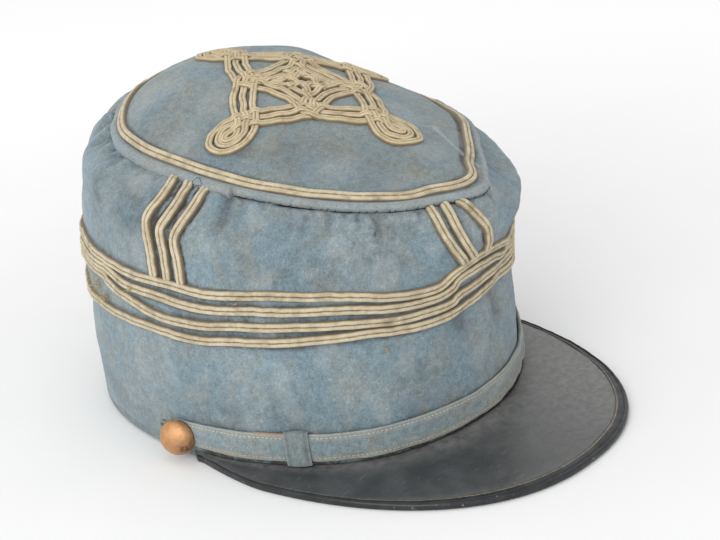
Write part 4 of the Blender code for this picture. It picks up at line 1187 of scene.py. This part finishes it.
def strap_point(angle, height, out):
    """Place beside the crown at a height above the table, out from the cloth."""
    level = np.asarray(height) / RINGS[1].z
    point = crown(angle, level)
    point[..., 2] = height
    return point + flat_normal(angle, level) * np.asarray(out)[..., None]


def strap_height(angle, across):
    """Height of a line along the strap: across is -1 at its bottom edge and 1 at its top edge."""
    degrees = np.degrees(angle)
    middle = 0.5 * (STRAP_LOW + STRAP_HIGH) + 0.35 * np.sin(2.3 * angle) * gauss((degrees - 260) / 60)
    beyond = np.minimum(degrees - 180.0 + STRAP_PAST, 360.0 + STRAP_PAST - degrees) / (2.0 * STRAP_PAST)
    share = np.maximum(STRAP_TIP, np.sin(0.5 * math.pi * np.clip(beyond, 0.0, 1.0)))
    narrow = 1.0 - 0.16 * gauss((degrees - 180.0) / 6.0) - 0.16 * gauss((degrees - 360.0) / 6.0)
    return middle + across * 0.5 * (STRAP_HIGH - STRAP_LOW) * share * narrow


def strap_stand(angle):
    """How far the strap stands off the cloth, where it isn't drawn tight."""
    degrees = np.degrees(angle)
    return GAP + 2.6 * gauss((degrees - 332.0) / 11.0) + 0.5 * gauss((degrees - 250.0) / 22.0)


def near_rows(across, width):
    return sum(gauss((across - row) / width) for row in STRAP_STITCH_ROWS)


def strap_face(angle, across):
    """Place on the outer face of the strap."""
    path = circle(angle, LOOP_RADIUS, 5.0 * across)
    ripple = 0.22 * waves(path, 16.0, 71) + 0.09 * waves(path, 5.0, 72)
    full = STRAP_THICK * (1.0 - 0.35 * np.abs(across) ** 8)
    return strap_point(angle, strap_height(angle, across),
                       strap_stand(angle) + full - 0.24 * near_rows(across, 0.10) + ripple)


def strap_piece(finish):
    """Chin strap: cloth with both edges folded under and sewn down."""
    angles = np.linspace(math.pi - math.radians(STRAP_PAST), TURN + math.radians(STRAP_PAST), 420)
    across = np.concatenate([[-1.0, -0.985, -0.95], np.linspace(-0.9, 0.9, 27), [0.95, 0.985, 1.0]])
    back = np.array([1.0, 0.9, 0.5, 0.0, -0.5, -0.9, -1.0])[:, None]
    back_grid = strap_point(angles, strap_height(angles, 0.97 * back),
                            strap_stand(angles) + 0.45 * (np.abs(back) == 1.0))
    grid = np.concatenate([strap_face(angles, across[:, None]), back_grid]).transpose(1, 0, 2)
    folded = 0.5 * smoothstep(np.abs(across), 0.50, 0.62) + 0.25 * smoothstep(np.abs(across), 0.86, 1.0)
    dirt = np.concatenate([0.5 * near_rows(across, 0.08), np.full(len(back), 0.5)])
    # painted shadow: the strap's end behind the right button is made near-black
    painted_shadow_behind_button = 1.3 * fade(np.degrees(angles), 180.6, 182.6)[:, None]
    marks = {"dirt": np.maximum(dirt, painted_shadow_behind_button), "wear": np.concatenate([folded, np.zeros(len(back))])}
    make_piece("strap_cloth", [grid], finish, marks=marks, nodes=["chin_strap"])


def strap_stitches(finishes):
    """Two rows of machine stitches along the strap."""
    fine = np.radians(np.linspace(181.0, 359.0, 2000))
    for row, finish, name in zip(STRAP_STITCH_ROWS, finishes, ("low", "high")):
        lengths = along_lengths(strap_face(fine, row))
        starts = np.arange(1.0, lengths[-1] - 3.0, STRAP_STITCH_STEP)
        first, second = (np.interp(starts + ahead * STRAP_STITCH_STEP, lengths, fine) for ahead in (0.0, 0.7))
        stitches(f"strap_stitches_{name}", strap_face(first, row), strap_face(second, row),
                 flat_normal(0.5 * (first + second), 0.4), 0.2, 0.08, finish)


def strap_thread(finish):
    """A bare strand that shows between the crown and the strap beside the right keeper."""
    angles = np.radians(np.linspace(204.6, 213.4, 9))
    places = strap_point(angles, np.full(len(angles), STRAP_HIGH + 0.35), 1.5)
    ends = places[1:] + 0.15 * np.diff(places, axis=0)
    stitches("strap_loose_strand", places[:-1], ends, flat_normal(angles[:-1], 0.6), 0.42, 0.0, finish)


def rim_mark(finish):
    """A small ring of stitches on the rolled rim above the right side's braids."""
    turns = np.linspace(0.0, TURN, 11)
    uneven = 1.0 + 0.25 * np.cos(3.0 * turns + 1.0)
    angles = np.radians(183.2 + 1.4 * uneven * np.cos(turns))
    places = rim_point(angles, 0.55 + 0.27 * uneven * np.sin(turns))
    middle = rim_point(math.radians(183.6), 0.5)
    normal = unit(middle - np.array([DOME.x, DOME.y, middle[2] - 60.0]))
    places = places + normal * 0.15
    stitches("rim_mark", places[:-1], places[1:] * 0.65 + places[:-1] * 0.35,
             np.broadcast_to(normal, places[1:].shape), 0.17, 0.05, finish)


def keeper_piece(side, degrees, finish):
    """A folded cloth loop round the strap, tacked to the crown above and below it."""
    middle = math.radians(degrees)
    half = 0.5 * KEEPER_WIDTH
    half_turn = half / np.linalg.norm(strap_point(middle, 12.0, 0.0)[:2])
    outer = GAP + STRAP_THICK + GAP + 1.25
    route = [(STRAP_LOW - 1.5, 0.5), (STRAP_LOW - 1.75, 1.6), (STRAP_LOW - 1.2, outer - 0.4),
             (STRAP_LOW, outer), (0.5 * (STRAP_LOW + STRAP_HIGH), outer + 0.15), (STRAP_HIGH, outer),
             (STRAP_HIGH + 1.2, outer - 0.4), (STRAP_HIGH + 1.75, 1.6), (STRAP_HIGH + 1.5, 0.5)]
    route = smooth_curve(route, 7)
    slope = np.gradient(route, axis=0)
    normal = unit(np.stack([-slope[:, 1], slope[:, 0]], axis=-1))
    face = np.linspace(-1.0, 1.0, 19)
    widths = np.concatenate([face, [1.0], np.linspace(0.9, -0.9, 5), [-1.0]])
    sewn = gauss((np.abs(widths) - 0.72) / 0.10)
    depths = np.concatenate([1.1 - 0.55 * np.abs(face) ** 6, [0.25], [0.0] * 5, [0.25]])
    depths = depths - 0.22 * sewn * (depths > 0.5) - 1.1
    place = route[:, None] + normal[:, None] * depths[:, None]
    grid = strap_point(middle + widths * half_turn, np.maximum(place[..., 0], 2.0),
                       np.maximum(place[..., 1], 0.12))
    marks = {"dirt": 0.4 * sewn, "wear": 0.6 * smoothstep(np.abs(widths), 0.85, 1.0)}
    make_piece(f"keeper_cloth_{side}", [grid], finish, marks=marks,
               nodes=[f"strap_keeper_{side}"])


def button_piece(side, degrees, finish):
    """A plain domed button with a rounded edge, turned about its own axis."""
    angle = math.radians(degrees)
    seat = strap_point(angle, BUTTON_HEIGHT, GAP + STRAP_THICK + GAP + BUTTON_STAND)
    axis = unit(seat - strap_point(angle, BUTTON_HEIGHT, 0.0))
    axis = unit(axis + np.array([0.0, -BUTTON_TILT, 0.12]))
    across = unit(np.cross(np.array([0.0, 0.0, 1.0]), axis))
    up = np.cross(axis, across)
    profile = [(1.2, -0.1), (2.6, 0.0), (2.6, 1.0), (5.6, 1.05), (7.2, 1.15), (7.7, 1.45), (7.85, 1.9),
               (7.8, 2.35), (7.7, 2.6), (7.6, 2.72), (7.52, 2.8)]
    edge, dome = 8, len(profile)
    for turn in np.radians(np.arange(6.0, 90.0, 6.0)):
        profile.append((7.5 * math.cos(turn) ** 0.94, 2.85 + 3.9 * math.sin(turn)))
    turns = all_round(72)[:, None]
    round_way = across * np.cos(turns) + up * np.sin(turns)
    grid = np.stack([seat + axis * out + round_way * radius for radius, out in profile])
    grid[edge:] += axis * 0.05 * waves(grid, 7.0, 81)[edge:, :, None]
    # painted shade: a dark patch on the lower, outer side of the dome, turned away from the light
    patch = seat + axis * 5.0 + across * 5.2 * (1 if side == "right" else -1) - up * 3.4
    dirt = 0.9 * gauss(np.linalg.norm(grid - patch, axis=-1) / 2.4)
    dirt[:edge] = 0.6
    dirt[edge:dome] = 0.45
    make_piece(f"button_dome_{side}", [grid], finish, marks={"dirt": dirt},
               nodes=[f"button_{side}"])


def seam_stitches(finish):
    """Uneven hand stitches that hold the rolled rim down on the side cloth."""
    random = np.random.default_rng(SEED + 5)
    fine = np.linspace(0.0, TURN, 3000)
    lengths = along_lengths(rim_point(fine, 0.0))
    starts = np.arange(0.0, lengths[-1] - 2.0, STITCH_STEP)
    count = len(starts)
    starts = starts + random.uniform(-1.3, 1.3, count)
    angle = np.interp(starts, lengths, fine)
    ahead = np.interp(starts + random.uniform(0.3, 2.2, count), lengths, fine)
    upper = rim_point(ahead, 0.12 + random.uniform(-0.08, 0.06, count))
    stitches("rim_stitches", crown(angle, SEAM - 0.055, 0.55), upper, smooth_normal(angle, SEAM - 0.1),
             0.18, 0.1, finish)


def loose_fibres(number, tuft, finish):
    """A tuft of loose curling fibres."""
    angle = math.radians(tuft.angle)
    centre, normal = crown(angle, tuft.level, 1.3), crown_normal(angle, tuft.level)
    random = np.random.default_rng(SEED + 90 + number)
    section = circle(all_round(4), 0.12)[:, :2]
    share = np.linspace(0.0, 1.0, 9)[:, None]
    grids = []
    for _ in range(tuft.count):
        start = centre + random.normal(size=3) * tuft.spread
        heading = unit(random.normal(size=3) + normal * 0.9)
        bend = unit(random.normal(size=3))
        reach = tuft.length * random.uniform(0.5, 1.3)
        path = start + reach * (heading * share + bend * 0.45 * share ** 2) - 0.2 * normal * (1 - share)
        side = np.broadcast_to(unit(np.cross(heading, bend + 1e-3)), path.shape)
        grids.append(sweep(path, side, section, False, 1.0 - 0.5 * share))
    make_piece(f"loose_fibres_{number + 1}", grids, finish)


def make_surround():
    """An even pale surround, a little brighter near the horizon and on the wearer's right."""
    world = bpy.data.worlds.new("surround")
    world.use_nodes = True
    nodes = Nodes(world.node_tree)
    x, _, z = nodes.split(nodes.coordinates("Generated"))
    strength = nodes.math("MULTIPLY", nodes.ramp(z, 0.0, 1.0, 0.97, 0.81, "LINEAR"),
                          nodes.ramp(x, -1.0, 1.0, 1.19, 0.83, "LINEAR"))
    nodes.put(world.node_tree.nodes["Background"].inputs["Strength"], strength)
    nodes.put(world.node_tree.nodes["Background"].inputs["Color"], (1.0, 1.0, 1.0))
    bpy.context.scene.world = world


Light = namedtuple("Light", "name place size power")
LIGHTS = [
    Light("key", (-1.5, -0.45, 0.75), 1.2, 12.0),
    Light("above", (0.1, 0.5, 1.7), 1.6, 3.0),
    Light("front", (-0.3, -1.7, 0.8), 1.2, 1.2),
]


def make_stage(half=30.0):
    """A wide pale table, soft lights and an even pale surround."""
    mesh = bpy.data.meshes.new("table")
    corners = [(-half, -half, 0), (half, -half, 0), (half, half, 0), (-half, half, 0)]
    mesh.from_pydata(corners, [], [(0, 1, 2, 3)])
    floor = bpy.data.objects.new("table", mesh)
    bpy.context.scene.collection.objects.link(floor)
    nodes = Finish("table_white", Specular_IOR_Level=0.1)
    reach = nodes.node("VectorMath", {0: nodes.place}, operation="LENGTH").outputs["Value"]
    tone = nodes.clouded((0.875, 0.878, 0.875), (0.885, 0.888, 0.885), 0.3, 0.7, 60.0)
    # painted light: the table grows lighter away from the cap, so the far table behind it reads brighter
    tone = nodes.mix(nodes.ramp(reach, 180.0, 700.0), tone, (0.985, 0.985, 0.987))
    mesh.materials.append(nodes.finish(tone, 0.9, (nodes.noise(8.0), 0.01)))
    make_surround()
    for light in LIGHTS:
        data = bpy.data.lights.new(light.name, "AREA")
        data.size = light.size
        data.energy = light.power
        lamp = bpy.data.objects.new(light.name, data)
        lamp.location = light.place
        lamp.rotation_mode = "QUATERNION"
        lamp.rotation_quaternion = (Vector((0, 0, 0.06)) - lamp.location).to_track_quat("-Z", "Y")
        bpy.context.scene.collection.objects.link(lamp)
    bpy.context.scene.view_settings.view_transform = "Standard"


def make_camera():
    """The photograph's view: from the wearer's right front, a little above, slightly rolled."""
    azimuth, elevation, roll = (math.radians(value) for value in (-46.08, 22.43, -6.05))
    distance = 0.650
    target = Vector((-0.0024, -0.0136, 0.060))
    back = Vector((math.sin(azimuth) * math.cos(elevation), -math.cos(azimuth) * math.cos(elevation),
                   math.sin(elevation)))
    right = (-back).cross(Vector((0, 0, 1))).normalized()
    up = right.cross(-back)
    rolled_right = right * math.cos(roll) + up * math.sin(roll)
    rolled_up = up * math.cos(roll) - right * math.sin(roll)
    data = bpy.data.cameras.new("view")
    data.sensor_width = 36.0
    data.lens = 75.83
    data.clip_start = 0.05
    data.clip_end = 100.0
    camera = bpy.data.objects.new("view", data)
    axes = Matrix((rolled_right, rolled_up, back)).transposed().to_4x4()
    camera.matrix_world = Matrix.Translation(target + back * distance) @ axes
    bpy.context.scene.collection.objects.link(camera)
    bpy.context.scene.camera = camera


def main():
    make_camera()
    make_stage()
    # The fourth colour of each felt is near-black, for the dirt and painted shade that the mesh marks.
    crown_felt = felt("blue_felt", (0.180, 0.252, 0.291), (0.210, 0.260, 0.276), (0.238, 0.254, 0.232),
                      (0.045, 0.045, 0.042), (0.42, 0.45, 0.45))
    top_felt = felt("top_felt", (0.163, 0.220, 0.243), (0.193, 0.230, 0.230), (0.215, 0.223, 0.193),
                    (0.045, 0.045, 0.042), (0.40, 0.43, 0.43))
    keeper_felt = felt("keeper_felt", (0.19, 0.235, 0.235), (0.225, 0.25, 0.235), (0.245, 0.25, 0.21),
                       (0.060, 0.060, 0.055), (0.36, 0.36, 0.32))
    strap_felt = felt("strap_felt", (0.195, 0.260, 0.280), (0.240, 0.275, 0.275), (0.265, 0.270, 0.235),
                      (0.060, 0.060, 0.055), (0.35, 0.355, 0.32))
    # The third colour of each braid is for painted shade in its groove and at its edges, and for grime; the
    # number sets the groove's darkening.
    braid = braid_finish("braid_wool", (0.62, 0.535, 0.375), (0.46, 0.38, 0.25), (0.15, 0.11, 0.06), 0.75)
    knot = braid_finish("knot_wool", (0.65, 0.535, 0.34), (0.51, 0.405, 0.245), (0.15, 0.11, 0.055), 0.6)
    side_cloths(crown_felt)
    plans = knot_strand_plans()
    top_cloth(plans, top_felt)
    crown_braids(braid)
    edge_braid(braid)
    top_knot(plans, knot)
    peak_piece(leather_finish())
    binding_piece(binding_finish())
    strap_piece(strap_felt)
    tan_thread = thread_finish("tan_thread", (0.60, 0.49, 0.29), (0.38, 0.30, 0.16))
    pale_thread = thread_finish("pale_thread", (0.62, 0.60, 0.50), (0.40, 0.38, 0.30))
    dark_thread = thread_finish("dark_thread", (0.035, 0.050, 0.085), (0.02, 0.024, 0.036))
    brown_thread = thread_finish("brown_thread", (0.42, 0.26, 0.16), (0.30, 0.17, 0.10))
    strap_stitches((tan_thread, pale_thread))
    for side, degrees in KEEPER_ANGLES.items():
        keeper_piece(side, degrees, keeper_felt)
    brass = brass_finish()
    for side, degrees in BUTTON_ANGLES.items():
        button_piece(side, degrees, brass)
    seam_stitches(dark_thread)
    rim_mark(dark_thread)
    strap_thread(brown_thread)
    for number, tuft in enumerate(TUFTS):
        loose_fibres(number, tuft, tan_thread)


main()
